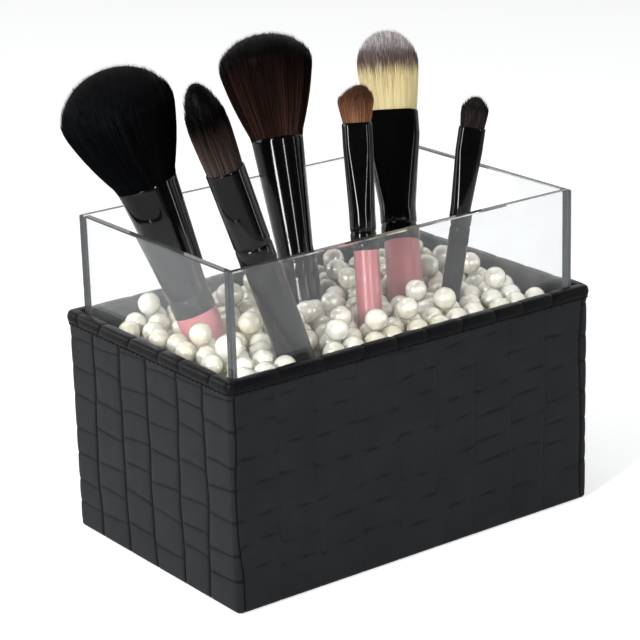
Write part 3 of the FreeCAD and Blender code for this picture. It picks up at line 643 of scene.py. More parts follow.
def metal_finish(settings):
    """Black gloss plating with fine polishing marks and small specks."""
    finish = Finish("black_ferrule", settings.metal, 0.1, Specular_IOR_Level=0.26)
    finish.roughness(finish.span(finish.noise(400, 3, 0.6), 0.06, 0.13))
    finish.mottle(120, 2, (0.35, settings.metal), (0.8, dimmed(settings.metal, 1.8)))
    finish.bump(finish.noise(120, 2), 0.0001, 0.03)
    return finish.material


def hair_finish(name, tones, spread, gloss):
    """Strands coloured from root to tip, a few of them paler than their neighbours."""
    finish = Finish(name, tones[0][1], 0.55, Specular_IOR_Level=gloss)
    body = finish.ramp(finish.attribute("along"), tones)
    dark = finish.node("HueSaturation", Value=1 - spread)
    finish.link(body, dark.inputs["Color"])
    finish.colour(finish.mixed(finish.attribute("shade"), dark.outputs["Color"], body))
    finish.roughness(finish.span(finish.attribute("shade"), 0.4, 0.65))
    finish.bump(finish.noise(2500, 2, 0.5), 0.00005, 0.3)
    return finish.material


# -------------------------------------------------------------- case and rim


def outline_points(distance, offset, size, corner):
    """Points of a rounded outline, a distance round it and an offset out from it."""
    size = np.asarray(size)
    radius = np.maximum(corner + offset, 0)
    shrink = np.minimum(corner + offset, 0)
    arc = corner * math.pi / 2
    total = 2 * size.sum() - 8 * corner + 4 * arc
    place = np.mod(distance, total)
    points = np.zeros(np.broadcast(place, offset).shape + (2,))
    start = 0.0
    for quarter in range(4):
        turn = (quarter - 1) * math.pi / 2
        normal = np.array((math.cos(turn), math.sin(turn)))
        along = np.array((-normal[1], normal[0]))
        half_run = size[quarter % 2] / 2 - corner
        half_across = size[1 - quarter % 2] / 2 - corner
        on_side = (place >= start) & (place < start + 2 * half_run)
        run = (place - start - half_run) * (half_run + shrink) / half_run
        out = half_across + shrink + radius
        side = run[..., None] * along + out[..., None] * normal
        start += 2 * half_run
        on_arc = (place >= start) & (place < start + arc)
        angle = turn + (place - start) / corner
        heart = (half_run + shrink)[..., None] * along + (half_across + shrink)[..., None] * normal
        bend = heart + radius[..., None] * np.stack((np.cos(angle), np.sin(angle)), -1)
        start += arc
        points = np.where(on_side[..., None], side, points)
        points = np.where(on_arc[..., None], bend, points)
    return points


def outline_length(size, corner):
    """How far it is once round a rounded outline."""
    return 2 * sum(size) - 8 * corner + 2 * math.pi * corner


def smoothstep(value):
    """Eases 0 to 1, held at both ends."""
    value = np.clip(value, 0, 1)
    return value * value * (3 - 2 * value)


def clustered(count):
    """Places from 0 to 1 that crowd towards both ends, without the last."""
    return 0.5 - 0.5 * np.cos(np.pi * np.arange(count) / count)


def uneven_columns(rng, around, width, least, most):
    """Borders of uneven columns round the case, from 0 to the whole way round."""
    count = round(around / width)
    widths = rng.uniform(least, most, count)
    return np.concatenate(((0,), np.cumsum(widths))) * around / widths.sum()


def column_of(borders, base):
    """The column that each distance round the case lies in."""
    return np.clip(np.searchsorted(borders, base, side="right") - 1, 0, len(borders) - 2)


def column_places(borders, steps, size, corner):
    """Distances round the case, crowded at the grooves, with extra ones on the corners."""
    places = []
    nearest = 0.18 * MM
    for low, high in zip(borders[:-1], borders[1:]):
        places.extend(low + (high - low) * clustered(steps))
    arc = corner * math.pi / 2
    start = 0.0
    for quarter in range(4):
        start += size[quarter % 2] - 2 * corner
        places.extend(start + arc * np.arange(9) / 8)
        start += arc
    places = sorted(places)
    kept = [places[0]]
    for place in places[1:]:
        if place - kept[-1] > nearest:
            kept.append(place)
    if borders[-1] - kept[-1] < nearest:
        kept.pop()
    return np.array(kept + [borders[-1]])


def on_short_wall(place, size, corner):
    """True for distances round the outline that lie on its two short sides."""
    half = outline_length(size, corner) / 2
    return np.mod(place, half) > size[0] - 2 * corner


def wander(rng, count, height, reach):
    """A slow sideways drift for each groove, as a function of height, the last as the first."""
    phases = rng.uniform(0, 2 * math.pi, (count, 3))
    sizes = rng.uniform(0.3, 1.0, (count, 3)) * np.array((1.0, 0.5, 0.22)) * reach
    phases[-1] = phases[0]
    sizes[-1] = sizes[0]
    waves = 2 * math.pi / height * np.array((0.6, 1.5, 3.4))

    def drift(column, level):
        return (sizes[column] * np.sin(waves * level[..., None] + phases[column])).sum(-1)

    return drift


def embossed_wall(settings, size, top, bottom):
    """The wrap's outer face: distance round, level, depth of relief and share of painted groove
    shade.
    """
    rng = np.random.default_rng(3)
    around = outline_length(size, settings.corner)
    borders = uneven_columns(rng, around, settings.cell_width, 0.9, 1.1)
    count = len(borders) - 1
    height = top - bottom
    rows = round(height / settings.cell_height)
    drift = wander(rng, count + 1, height, 1.1 * MM)

    # Row levels of each column, from the top down, uneven and staggered; the first row is low.
    shared = rng.uniform(0.8, 1.2, rows)
    shared[0] = 0.6
    steps = shared * (1 + rng.uniform(-0.3, 0.3, (count, rows)))
    steps[:, 0] *= rng.uniform(0.6, 1.5, count)
    levels = np.concatenate((np.zeros((count, 1)), np.cumsum(steps, axis=1)), axis=1)
    levels = top - height * levels / levels[:, -1:]
    slope = rng.uniform(-0.07, 0.13, (count, rows + 1))
    arch = rng.uniform(-0.0005, 0.0009, (count, rows + 1))
    strength = rng.uniform(0.7, 1.0, (count, rows + 1))
    for values in (slope, arch, strength):
        values[:, (0, -1)] = 0

    base = column_places(borders, 14, size, settings.corner)
    column = column_of(borders, base)
    share = (base - borders[column]) / (borders[column + 1] - borders[column])
    turn = np.concatenate([row + clustered(10) for row in range(rows)] + [np.array((rows,))])
    row = np.minimum(turn.astype(int), rows - 1)
    part = turn - row

    def level_in(which, across):
        """Level of every row line in one column, a share across it."""
        line = levels[which] + slope[which] * ((across - 0.5) * widths_of(which))[:, None]
        line = line + arch[which] * (4 * across * (1 - across))[:, None]
        lower = np.take_along_axis(line, np.broadcast_to(row + 1, (len(which), len(row))), 1)
        upper = np.take_along_axis(line, np.broadcast_to(row, (len(which), len(row))), 1)
        return upper + (lower - upper) * part

    def widths_of(which):
        return (borders[1:] - borders[:-1])[which]

    def by_wall(pair):
        """One of two numbers for each place round the case, by the wall that it is on."""
        return np.where(short_wall, *pair)[column][:, None]

    short_wall = on_short_wall(0.5 * (borders[:-1] + borders[1:]), size, settings.corner)
    own = level_in(column, share)
    before = level_in((column - 1) % count, np.ones(len(base)))
    after = level_in((column + 1) % count, np.zeros(len(base)))
    # Cross lines of neighbouring columns meet within this share of a column.
    edge = 0.05
    from_left = smoothstep(0.5 + 0.5 * share / edge)[:, None]
    from_right = smoothstep(0.5 + 0.5 * (1 - share) / edge)[:, None]
    level = np.where(
        share[:, None] < 0.5,
        before + (own - before) * from_left,
        after + (own - after) * from_right,
    )
    shift_left = np.stack([drift(column[i], level[i]) for i in range(len(base))])
    shift_right = np.stack([drift(column[i] + 1, level[i]) for i in range(len(base))])
    distance = base[:, None] + shift_left + (shift_right - shift_left) * share[:, None]

    # How deep each point is and how much painted shade it gets, by its distance from the nearest
    # upright and cross line.
    across = np.minimum(share, 1 - share) * widths_of(column)
    heights = levels[column][:, row] - levels[column][:, row + 1]
    line = np.where(part < 0.5, row, row + 1)
    nearest = strength[column][:, line]
    fading = rng.uniform(0.5, 1.6, (count, rows + 1))[column][:, line]
    phase = rng.uniform(0, 1, (count, rows + 1))[column][:, line]
    wave = 0.5 + 0.5 * np.sin(2 * math.pi * (share[:, None] * fading + phase))
    least = by_wall(CROSS_LEAST)
    nearest = nearest * (least + (1 - least) * wave ** 1.5)
    nearest = nearest * by_wall(CROSS_DEPTH)
    down = np.minimum(part, 1 - part) * heights
    wide = settings.groove_width
    upright = by_wall(UPRIGHT_DEPTH) * np.exp(-((across / (1.15 * wide)) ** 1.6))[:, None]
    upright = upright * np.ones(len(row))
    level_groove = nearest * np.exp(-((down / (0.8 * wide)) ** 2))
    level_groove = np.where((row == 0) & (part < 0.5), 0, level_groove)
    groove = 1 - (1 - upright) * (1 - 0.5 * level_groove)
    # Painted shade: darkest down in the grooves, and weak on the long walls' uprights.
    shaded = 1 - (1 - upright * by_wall(UPRIGHT_SHADE)) * (1 - level_groove)
    shaded = np.clip(by_wall(GROOVE_SHADE) * shaded, 0, 1)
    swell = smoothstep(across / 0.005)[:, None] * smoothstep(down / 0.0035)
    relief = -settings.groove_depth * groove - settings.pillow * (1 - swell)
    return distance.T, level.T, relief.T, shaded.T


def build_wrap(settings, size):
    """The skin as one closed sheet: face, turned edge, hem and back."""
    low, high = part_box("outer_wrap")
    top = high[2]
    bottom = low[2]
    fold = settings.hem_round
    # The last of these is the painted shade of the grooves.
    distance, level, relief, groove = embossed_wall(settings, size, top, bottom + fold)
    edge_row = distance[-1]
    edge_relief = relief[-1]
    rows = [(distance, relief, level)]
    turns = 6
    for step in range(1, turns + 1):
        angle = math.pi / 2 * step / turns
        fade = math.cos(angle)
        inwards = fold * (1 - math.cos(angle))
        height = bottom + fold * (1 - math.sin(angle))
        rows.append((edge_row, edge_relief * fade - inwards, height))
    skin = settings.skin
    back = [
        (-0.5 * (settings.hem + fold), bottom),
        (-settings.hem, bottom),
        (-settings.hem, bottom + skin),
        (-skin, bottom + skin),
        (-skin, 0.5 * (top + bottom)),
        (-skin, top),
        (0.0, top),
    ]
    for offset, height in back:
        rows.append((edge_row, np.full_like(edge_row, offset), height))
    flat = []
    marks = []
    for place, offset, height in rows:
        place = np.atleast_2d(place)
        offset = np.atleast_2d(offset)
        points = outline_points(place, offset, size, settings.corner)
        heights = np.broadcast_to(height, place.shape)
        flat.append(np.concatenate((points, heights[..., None]), -1))
        # Only the embossed face gets painted groove shade; the turned edge, hem and back get none.
        mark = groove if place.shape == groove.shape else np.zeros(place.shape)
        marks.append(mark)
    points = np.concatenate(flat)
    edge = distance[0]
    rim = outline_points(edge, np.zeros_like(edge), size, settings.corner)
    points[-1] = np.c_[rim, np.full(len(edge), top)]
    points[0] = points[-1]
    sheet = wrap_sheet(points)
    # Painted groove shade, written for the leather finish to read.
    set_attribute(sheet, "groove", np.concatenate(marks).reshape(-1))
    close_up(sheet, SHEET_GAP)
    smooth(sheet, 50)
    return sheet


def band_profile(settings, leg, drop, height, proud, thick):
    """Closed section of the rim band: (offset from the wrap's face, height below its top)."""
    roll = settings.band_roll
    swell = 1.15 * proud
    seat = 1.5 * MM
    outer = [
        (0.0, -height), (0.45 * proud, -height + 0.05 * MM), (0.8 * proud, -0.92 * height),
        (swell, -0.72 * height), (1.08 * swell, -0.5 * height), (proud, -roll),
    ]

    def rolled(heart, quarter):
        """One rolled edge: points of a quarter turn round a middle, without its ends."""
        angles = [math.pi / 2 * (quarter + step / 8) for step in range(1, 8)]
        return [(heart + roll * math.cos(turn), -roll + roll * math.sin(turn)) for turn in angles]

    over = rolled(proud - roll, 0)
    flat = [(proud - roll, 0.0), (0.5 * (proud - leg), 0.05 * MM), (roll - leg, 0.0)]
    down = rolled(roll - leg, 1)
    inner = [
        (-leg, -roll), (-leg, -0.6 * drop), (-leg, -drop),
        (-leg + thick, -drop), (-leg + thick, -0.5 * drop), (-leg + thick, -thick - 1.0 * MM),
        (-leg + thick, -seat), (-0.5 * leg, -seat), (0.0, -seat),
        (0.0, -0.5 * height), (0.0, -height),
    ]
    return np.array(outer + over + flat + down + inner), len(outer + over + flat + down)


def build_band(settings, size):
    """The padded rim band, with the emboss running over it."""
    rng = np.random.default_rng(5)
    low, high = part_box("rim_binding")
    thick = 0.6 * MM
    lining_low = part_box("wall_lining")[0]
    leg = lining_low[0] + size[0] / 2 + thick
    proud = -size[0] / 2 - low[0]
    drop = high[2] - low[2]
    section, shown = band_profile(settings, leg, drop, settings.band_height, proud, thick)
    around = outline_length(size, settings.corner)
    borders = uneven_columns(rng, around, 0.92 * settings.cell_width, 0.8, 1.2)
    base = column_places(borders, 12, size, settings.corner)
    column = column_of(borders, base)
    gap = np.minimum(base - borders[column], borders[column + 1] - base)
    strength = rng.uniform(0.5, 1.0, len(borders))
    strength[-1] = strength[0]
    nearer = np.where(base - borders[column] < borders[column + 1] - base, column, column + 1)
    groove = strength[nearer] * np.exp(-((gap / settings.groove_width) ** 1.5))
    swell = smoothstep(gap / 0.005)
    heart = np.array((-0.45 * leg, -0.45 * settings.band_height))
    away = section - heart
    away /= np.linalg.norm(away, axis=1)[:, None]
    shift = -0.00035 * groove - 0.00014 * (1 - swell)
    fade = np.zeros(len(section))
    fade[1:shown] = np.minimum(1, np.minimum(np.arange(1, shown), shown - np.arange(1, shown)) / 3)
    offset = section[:, 0][:, None] + (fade * away[:, 0])[:, None] * shift
    height = high[2] + section[:, 1][:, None] + (fade * away[:, 1])[:, None] * shift
    slant = 0.35 * (section[:, 1] + 3 * MM)[:, None] * np.sin(base * 23 / around * 2 * math.pi)
    slant = slant * (fade > 0)[:, None]
    distance = base[None, :] + slant
    points = outline_points(distance, offset, size, settings.corner)
    sheet = wrap_sheet(np.concatenate((points, height[..., None]), -1))
    # Painted shade in the band's grooves, by the same mask as their relief.
    set_attribute(sheet, "groove", (fade[:, None] * groove[None, :]).reshape(-1))
    close_up(sheet, SHEET_GAP)
    smooth(sheet, 50)
    return sheet


def build_stitches(settings, size):
    """Thread under the rim band: one stitch is drawn and copied all the way round."""
    deselect_all()
    bpy.ops.mesh.primitive_cylinder_add(
        vertices=6, radius=0.00042, depth=settings.stitch_length, rotation=(0, math.pi / 2, 0)
    )
    stitch = bpy.context.object
    bpy.ops.object.transform_apply(location=True, rotation=True, scale=True)
    edit_all(stitch)
    bpy.ops.mesh.bevel(offset=0.00016, segments=1, affect="EDGES")
    end_edit()
    around = outline_length(size, settings.corner)
    count = round(around / settings.stitch_pitch)
    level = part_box("rim_binding")[1][2] - settings.band_height - 0.5 * MM
    proud = np.array((0.00004,))
    rng = np.random.default_rng(9)
    places = []
    for index in range(count):
        place = np.array((index * around / count,))
        here = outline_points(place, proud, size, settings.corner)[0]
        ahead = outline_points(place + 0.0002, proud, size, settings.corner)[0]
        turn = math.atan2(ahead[1] - here[1], ahead[0] - here[0])
        tilt = math.radians(rng.uniform(4, 12))
        matrix = Matrix.Translation((here[0], here[1], level)) @ Matrix.Rotation(turn, 4, "Z")
        places.append(matrix @ Matrix.Rotation(tilt, 4, "Y"))
    return scatter("rim_stitches", stitch, places)


class HOLDER_OT_case(bpy.types.Operator):
    """Wraps the boards in embossed leather and turns it over the rim"""

    bl_idname = "holder.case"
    bl_label = "Case"

    def execute(self, context):
        settings = context.scene.holder_leather
        low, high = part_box("outer_wrap")
        size = (high[0] - low[0], high[1] - low[1])
        leather = leather_finish("embossed_leather", settings, settings.skin_colour, 0.42, 0.16)
        glossy = leather_finish("glossy_leather", settings, settings.band_colour, 0.3, 0.1)
        hang(build_wrap(settings, size), "leather_wrap", "case", "skin", leather, ["outer_wrap"])
        hang(build_band(settings, size), "rim_band", "case", "rim", glossy, ["rim_binding"])
        hang(build_stitches(settings, size), "rim_stitches", "case", "rim", thread_finish())
        dress_nodes(LINING_NODES, lining_finish(settings))
        dress_nodes(BOARD_NODES, board_finish())
        dress_nodes(["base_pad"], felt_finish())
        return {"FINISHED"}


# -------------------------------------------------------------- clear liner


class HOLDER_OT_liner(bpy.types.Operator):
    """Gives the clear liner's sheets their finish"""

    bl_idname = "holder.liner"
    bl_label = "Clear liner"

    def execute(self, context):
        dress_nodes(CLEAR_NODES, clear_finish(context.scene.holder_liner))
        return {"FINISHED"}


# ------------------------------------------------------------------- brushes


class BrushPlace:
    """A brush's own axes: its foot on its centre line, its axis, and its broad side along X."""

    def __init__(self, brush):
        joints = frame["record"]["behaviour"]["joints"]
        joint = [entry for entry in joints if entry["name"] == brush + "_lift"][0]
        axis = Vector(joint["axis"]).normalized()
        turn = Vector((0, 0, 1)).rotation_difference(axis).to_matrix()
        turn = turn @ Matrix.Rotation(math.radians(BROAD_SIDE.get(brush, 0)), 3, "Z")
        self.brush = brush
        self.turn = np.array(turn)
        handle = node_points(brush + "_handle") @ self.turn
        low = handle.min(axis=0)
        high = handle.max(axis=0)
        middle = np.array(((low[0] + high[0]) / 2, (low[1] + high[1]) / 2, low[2]))
        self.origin = self.turn @ middle

    def matrix(self):
        """Where the brush stands, as a matrix."""
        placed = Matrix(self.turn.tolist()).to_4x4()
        placed.translation = Vector(self.origin)
        return placed

    def points(self, part):
        """A CAD part's points in the brush's own axes."""
        return (node_points(self.brush + "_" + part) - self.origin) @ self.turn

    def world(self, points):
        """Points in the brush's own axes, put where the brush stands."""
        return points @ self.turn.T + self.origin

    def rings(self, part):
        """(height, half width, half depth) of a CAD part at each level that its mesh has."""
        points = self.points(part)
        levels = np.round(points[:, 2], 5)
        found = []
        for level in np.unique(levels):
            ring = points[levels == level]
            found.append((level, np.abs(ring[:, 0]).max(), np.abs(ring[:, 1]).max()))
        return found

    def turned_rings(self, part, step=0.0006, change=0.00005, tenon=0.004):
        """Rings of a round CAD part, at steps that its curve needs, with the step at its tenon."""
        points = self.points(part)
        levels = np.round(points[:, 2], 5)
        spans = np.hypot(points[:, 0], points[:, 1])
        outline = [(level, spans[levels == level].max()) for level in np.unique(levels)]
        kept = [outline[0]]
        for (level, span), (next_level, next_span) in zip(outline[1:-1], outline[2:]):
            shoulder = next_level - level > tenon and span - next_span > change
            if level - kept[-1][0] >= step or abs(span - kept[-1][1]) >= change or shoulder:
                kept.append((level, span))
            if shoulder:
                kept.append((level, next_span))
        kept.append(outline[-1])
        return [(level, span, span) for level, span in kept]


def draw_tube(rings, sides):
    """A turned or pinched piece drawn up ring by ring: (height, half width, half depth)."""
    deselect_all()
    bpy.ops.mesh.primitive_circle_add(vertices=sides, radius=1, fill_type="NOTHING")
    tube = bpy.context.object
    edit_all(tube)
    height, wide, deep = rings[0]
    bpy.ops.transform.resize(value=(wide, deep, 1))
    bpy.ops.transform.translate(value=(0, 0, height))
    for next_height, next_wide, next_deep in rings[1:]:
        bpy.ops.mesh.extrude_region_move(
            TRANSFORM_OT_translate={"value": (0, 0, next_height - height)}
        )
        bpy.ops.transform.resize(value=(next_wide / wide, next_deep / deep, 1))
        height, wide, deep = next_height, next_wide, next_deep
    end_edit()
    return tube


def set_down(piece, place):
    """Moves a piece drawn up +Z to where its brush stands, with its place in its mesh."""
    piece.data.transform(place.matrix())
    piece.data.update()


def handle_rings(place):
    """The handle's outline, closed at both ends."""
    rings = place.turned_rings("handle")
    tip = 0.00002
    foot, foot_wide, _ = rings[0]
    top, top_wide, _ = rings[-1]
    closed_foot = [(foot, tip, tip), (foot, 0.5 * foot_wide, 0.5 * foot_wide)]
    closed_top = [(top, 0.5 * top_wide, 0.5 * top_wide), (top, tip, tip)]
    return closed_foot + rings + closed_top


def cap_ends(tube, gap):
    """Closes the small holes left at a turned piece's ends."""
    edit_all(tube)
    bpy.ops.mesh.remove_doubles(threshold=gap)
    bpy.ops.mesh.select_all(action="DESELECT")
    bpy.ops.mesh.select_non_manifold(extend=False)
    bpy.ops.mesh.edge_face_add()
    bpy.ops.mesh.select_all(action="SELECT")
    bpy.ops.mesh.normals_make_consistent(inside=False)
    end_edit()


class HOLDER_OT_handles(bpy.types.Operator):
    """Turns the six lacquered handles"""

    bl_idname = "holder.handles"
    bl_label = "Handles"

    def execute(self, context):
        settings = context.scene.holder_handles
        pink = lacquer_finish("pink_lacquer", settings.pink, 0.3, 0.4)
        black = lacquer_finish("black_lacquer", settings.black, 0.14, 0.3)
        for brush in BRUSHES:
            place = BrushPlace(brush)
            grip = draw_tube(handle_rings(place), HANDLE_SIDES)
            close_up(grip, TUBE_GAP)
            cap_ends(grip, 5e-5)
            set_down(grip, place)
            smooth(grip, 35)
            is_pink = brush in PINK_HANDLES
            slot, finish = ("handle_pink", pink) if is_pink else ("handle_black", black)
            hang(grip, brush + "_grip", brush + "_brush", slot, finish, [brush + "_handle"])
        return {"FINISHED"}


def ferrule_ends(place):
    """The rings at a ferrule's foot and mouth, measured on its CAD node."""
    rings = place.rings("ferrule")
    return rings[0], rings[-1]


def ferrule_at(height, foot, mouth, settings, flat):
    """Half width, half depth and flats' distance of a ferrule's outside at a height."""
    collar = foot[0] + (settings.pinch if flat else settings.collar)
    share = float(np.clip((height - collar) / (mouth[0] - collar), 0, 1))
    if not flat:
        wide = foot[1] + (mouth[1] - foot[1]) * share
        return wide, wide, wide
    knee = max((mouth[0] - settings.flat_band - collar) / (mouth[0] - collar), 0.1)
    pinched = min(share / knee, 1)
    wide = foot[1] + (mouth[1] - foot[1]) * pinched
    flats = foot[1] * 1.02 + (mouth[2] - foot[1] * 1.02) * pinched
    deep = foot[1] + (mouth[2] * settings.bulge - foot[1]) * pinched
    return wide, deep, flats


def ferrule_rings(place, settings):
    """Outside with its rolled rings, rounded mouth, and the bore back down to the foot."""
    foot, mouth = ferrule_ends(place)
    flat = place.brush in FLAT_BRUSHES
    start = foot[0]
    end = mouth[0]
    rings = []

    def add(height, inset=0.0):
        wide, deep, flats = ferrule_at(height, foot, mouth, settings, flat)
        rings.append((height, wide - inset, deep - inset, flats - inset))

    add(start, 0.12 * MM)
    add(start + 0.15 * MM, 0.0)
    for crimp in CRIMPS.get(place.brush, ONE_CRIMP):
        for step in range(-4, 5):
            depth = CRIMP_DEPTH * (0.5 + 0.5 * math.cos(math.pi * step / 4))
            add(start + crimp + CRIMP_STEP * step * MM, depth)
    for step in range(33):
        add(start + settings.collar + (end - settings.lip - start - settings.collar) * step / 32)
    add(end - 0.3 * settings.lip, 0.3 * settings.lip)
    add(end, settings.lip)
    add(end, settings.wall - settings.lip)
    add(end - settings.lip, settings.wall)
    for step in range(1, 13):
        add(end - (end - start) * step / 12, settings.wall)
    rings.append(rings[0])
    return rings


def press_flats(tube, rings):
    """Presses the two broad faces of a pinched ferrule flat, ring by ring."""
    points = mesh_points(tube.data)
    for index, (*_, flats) in enumerate(rings):
        ring = points[index * FERRULE_SIDES:(index + 1) * FERRULE_SIDES, 1]
        over = np.abs(ring) / flats
        pressed = np.where(over > 0.9, 0.9 + 0.1 * np.tanh((over - 0.9) / 0.1), over)
        ring[:] = np.sign(ring) * pressed * flats
    set_points(tube.data, points)


class HOLDER_OT_ferrules(bpy.types.Operator):
    """Draws the six black ferrules, three round and three pinched flat"""

    bl_idname = "holder.ferrules"
    bl_label = "Ferrules"

    def execute(self, context):
        settings = context.scene.holder_ferrules
        metal = metal_finish(settings)
        for brush in BRUSHES:
            place = BrushPlace(brush)
            name = brush + "_collar"
            rings = ferrule_rings(place, settings)
            tube = draw_tube([ring[:3] for ring in rings], FERRULE_SIDES)
            if brush in FLAT_BRUSHES:
                press_flats(tube, rings)
            close_up(tube, TUBE_GAP)
            set_down(tube, place)
            smooth(tube, 50)
            hang(tube, name, brush + "_brush", "ferrule", metal, [brush + "_ferrule"])
        return {"FINISHED"}


# ----------------------------------------------------------------------- hair


class HairShape:
    """The bundle's outline, measured on its CAD head: heights are from the ferrule's mouth."""

    def __init__(self, place, ferrule):
        mouth = ferrule_ends(place)[1]
        rings = place.rings("head")
        self.mouth = mouth[0]
        self.root_wide = mouth[1] - ferrule.wall
        self.root_deep = mouth[2] - ferrule.wall
        self.tip = rings[-1][0] - mouth[0]
        wide = max(ring[1] for ring in rings)
        at_widest = [ring for ring in rings if ring[1] > wide - 1e-5]
        self.wide = wide
        self.deep = at_widest[0][2]
        self.widest = at_widest[0][0] - mouth[0]
        self.flat = place.brush in FLAT_BRUSHES
        self.slant = CROWN_SLANT.get(place.brush, 0.0)

    def flank(self, height):
        """Half width and half depth of the flaring bundle before its crown closes."""
        share = np.clip(height / self.widest, 0, 1)
        swell = np.where(height > 0, share + 0.1 * np.sin(math.pi * share), 0)
        wide = self.root_wide + (self.wide - self.root_wide) * swell
        deep = self.root_deep + (self.deep - self.root_deep) * swell
        if self.flat:
            over = np.clip((height - self.widest) / (self.tip - self.widest), 0, 1)
            deep = deep * (1 - 0.45 * over)
        return wide, deep

    def crown(self, share, side=0.0):
        """Height of the crown at a share of the way out from the middle."""
        dome = (self.tip - self.widest) * np.sqrt(np.clip(1 - share ** 2, 0, 1))
        return self.widest + dome * (1 + self.slant * side) - self.slant * 0.35 * dome.max()


def strand_faces(rows, first):
    """Faces of one three-sided strand: a capped root, its sides and a point."""
    faces = [(first + 2, first + 1, first)]
    for row in range(rows - 1):
        low = first + 3 * row
        for side in range(3):
            beside = (side + 1) % 3
            faces.append((low + side, low + beside, low + 3 + beside, low + 3 + side))
    low = first + 3 * (rows - 1)
    tip = low + 3
    for side in range(3):
        faces.append((low + side, low + (side + 1) % 3, tip))
    return faces


def lay_strands(paths, angles, radius):
    """Points and faces of strands along paths (strand, step, xyz), thin at the tip."""
    count, steps = paths.shape[:2]
    rows = steps - 1
    points = np.empty((count, 3 * rows + 1, 3))
    for row in range(rows):
        thick = radius * (1 - 0.55 * row / rows)
        for side in range(3):
            around = angles + math.pi / 2 + side * 2 * math.pi / 3
            points[:, 3 * row + side, 0] = paths[:, row, 0] + thick * np.cos(around)
            points[:, 3 * row + side, 1] = paths[:, row, 1] + thick * np.sin(around)
            points[:, 3 * row + side, 2] = paths[:, row, 2]
    points[:, -1] = paths[:, -1]
    faces = []
    for strand in range(count):
        faces.extend(strand_faces(rows, strand * (3 * rows + 1)))
    return points.reshape(-1, 3), faces


def strand_paths(shape, rng, count, settings, over_crown):
    """Centre lines of strands in the brush's own axes, and the way that each one faces."""
    angles = rng.uniform(0, 2 * math.pi, count)
    if over_crown:
        share = np.sqrt(rng.uniform(0, 1, count)) * CROWN_REACH
        steps = 4
    else:
        share = 1 - FLANK_DEPTH * rng.uniform(0, 1, count) ** 1.5
        steps = 8
    side = share * np.cos(angles)
    end = shape.crown(share, side) + rng.normal(0, TIP_NOISE, count) * shape.tip
    end = end + TIP_REACH * rng.uniform(-0.5, 1.0, count)
    if over_crown:
        start = np.maximum(end - settings.visible * rng.uniform(0.7, 1.1, count), 0)
    else:
        start = np.full(count, -ROOT_DEPTH)
    along = np.linspace(0, 1, steps)
    height = start[:, None] + (end - start)[:, None] * along
    wide, deep = shape.flank(height)
    lean = rng.normal(0, STRAND_LEAN, (count, 2))
    curl = (height / shape.tip).clip(0, 1.2) ** 2
    x = share[:, None] * wide * np.cos(angles)[:, None] + lean[:, :1] * curl
    y = share[:, None] * deep * np.sin(angles)[:, None] + lean[:, 1:] * curl
    return np.stack((x, y, height + shape.mouth), -1), angles


def bundle_core(shape, settings):
    """The solid bundle under the loose strands, from inside the ferrule to the crown."""
    turn = 2 * math.pi * np.arange(BUNDLE_SIDES + 1) / BUNDLE_SIDES
    all_round = np.ones(len(turn))
    points = []
    for height in (-CORE_DEPTH, *np.linspace(0, shape.widest, 12)):
        wide, deep = shape.flank(np.array(height))
        inset = settings.inset * (0.4 if height <= 0 else 1)
        wide = wide - inset
        ring = (wide * np.cos(turn), (deep - inset) * np.sin(turn), height * all_round)
        points.append(np.stack(ring, -1))
    for share in np.sin(np.linspace(math.pi / 2, 0.02, 12))[1:]:
        level = shape.crown(share * all_round, share * np.cos(turn)) - settings.inset
        level = np.maximum(level, shape.widest * 0.98)
        closing = shape.flank(level)[1] - settings.inset
        ring = (share * wide * np.cos(turn), share * closing * np.sin(turn), level)
        points.append(np.stack(ring, -1))
    first = points[0] * np.array((0.02, 0.02, 1))
    points = np.array([first] + points)
    points[..., 2] += shape.mouth
    core = wrap_sheet(points)
    cap_ends(core, SHEET_GAP)
    return core


def build_hair(brush, ferrule, settings):
    """One brush's hair: its solid bundle and its loose strands, in one mesh."""
    place = BrushPlace(brush)
    shape = HairShape(place, ferrule)
    rng = np.random.default_rng(settings.seed + BRUSHES.index(brush))
    core = bundle_core(shape, settings)
    all_points = [mesh_points(core.data)]
    all_faces = mesh_faces(core.data)
    bpy.data.objects.remove(core)
    rarity = HAIR_SPREAD[brush][1]
    shades = [np.full(len(all_points[0]), 0.8 if rarity == 1 else 0.15)]
    offsets = [np.zeros(len(all_points[0]))]
    for count, over_crown in zip(HAIR_COUNTS[brush], (False, True)):
        paths, angles = strand_paths(shape, rng, count, settings, over_crown)
        points, faces = lay_strands(paths, angles, settings.strand)
        all_faces.extend(shifted(faces, sum(len(part) for part in all_points)))
        all_points.append(points)
        shades.append(np.repeat(rng.uniform(0, 1, count) ** rarity, len(points) // count))
        own = rng.normal(0, settings.ragged, count)
        offsets.append(np.repeat(own, len(points) // count))
    points = np.concatenate(all_points)
    along = (points[:, 2] - shape.mouth) / shape.tip + np.concatenate(offsets)
    hair = mesh_from(brush + "_hair", place.world(points), all_faces)
    set_attribute(hair, "along", along.clip(0, 1))
    set_attribute(hair, "shade", np.concatenate(shades))
    hair.data.shade_smooth()
    return hair


class HOLDER_OT_hair(bpy.types.Operator):
    """Lays the hair of the six brushes, strand by strand over a solid bundle"""

    bl_idname = "holder.hair"
    bl_label = "Hair"

    def execute(self, context):
        settings = context.scene.holder_hair
        ferrule = context.scene.holder_ferrules
        for brush in BRUSHES:
            hair = build_hair(brush, ferrule, settings)
            spread = HAIR_SPREAD[brush][0]
            finish = hair_finish(brush + "_strands", HAIR_TONES[brush], spread, HAIR_GLOSS[brush])
            slot = HAIR_SLOTS[brush]
            hang(hair, brush + "_hair", brush + "_brush", slot, finish, [brush + "_head"])
        return {"FINISHED"}


# ---------------------------------------------------------------------- beads


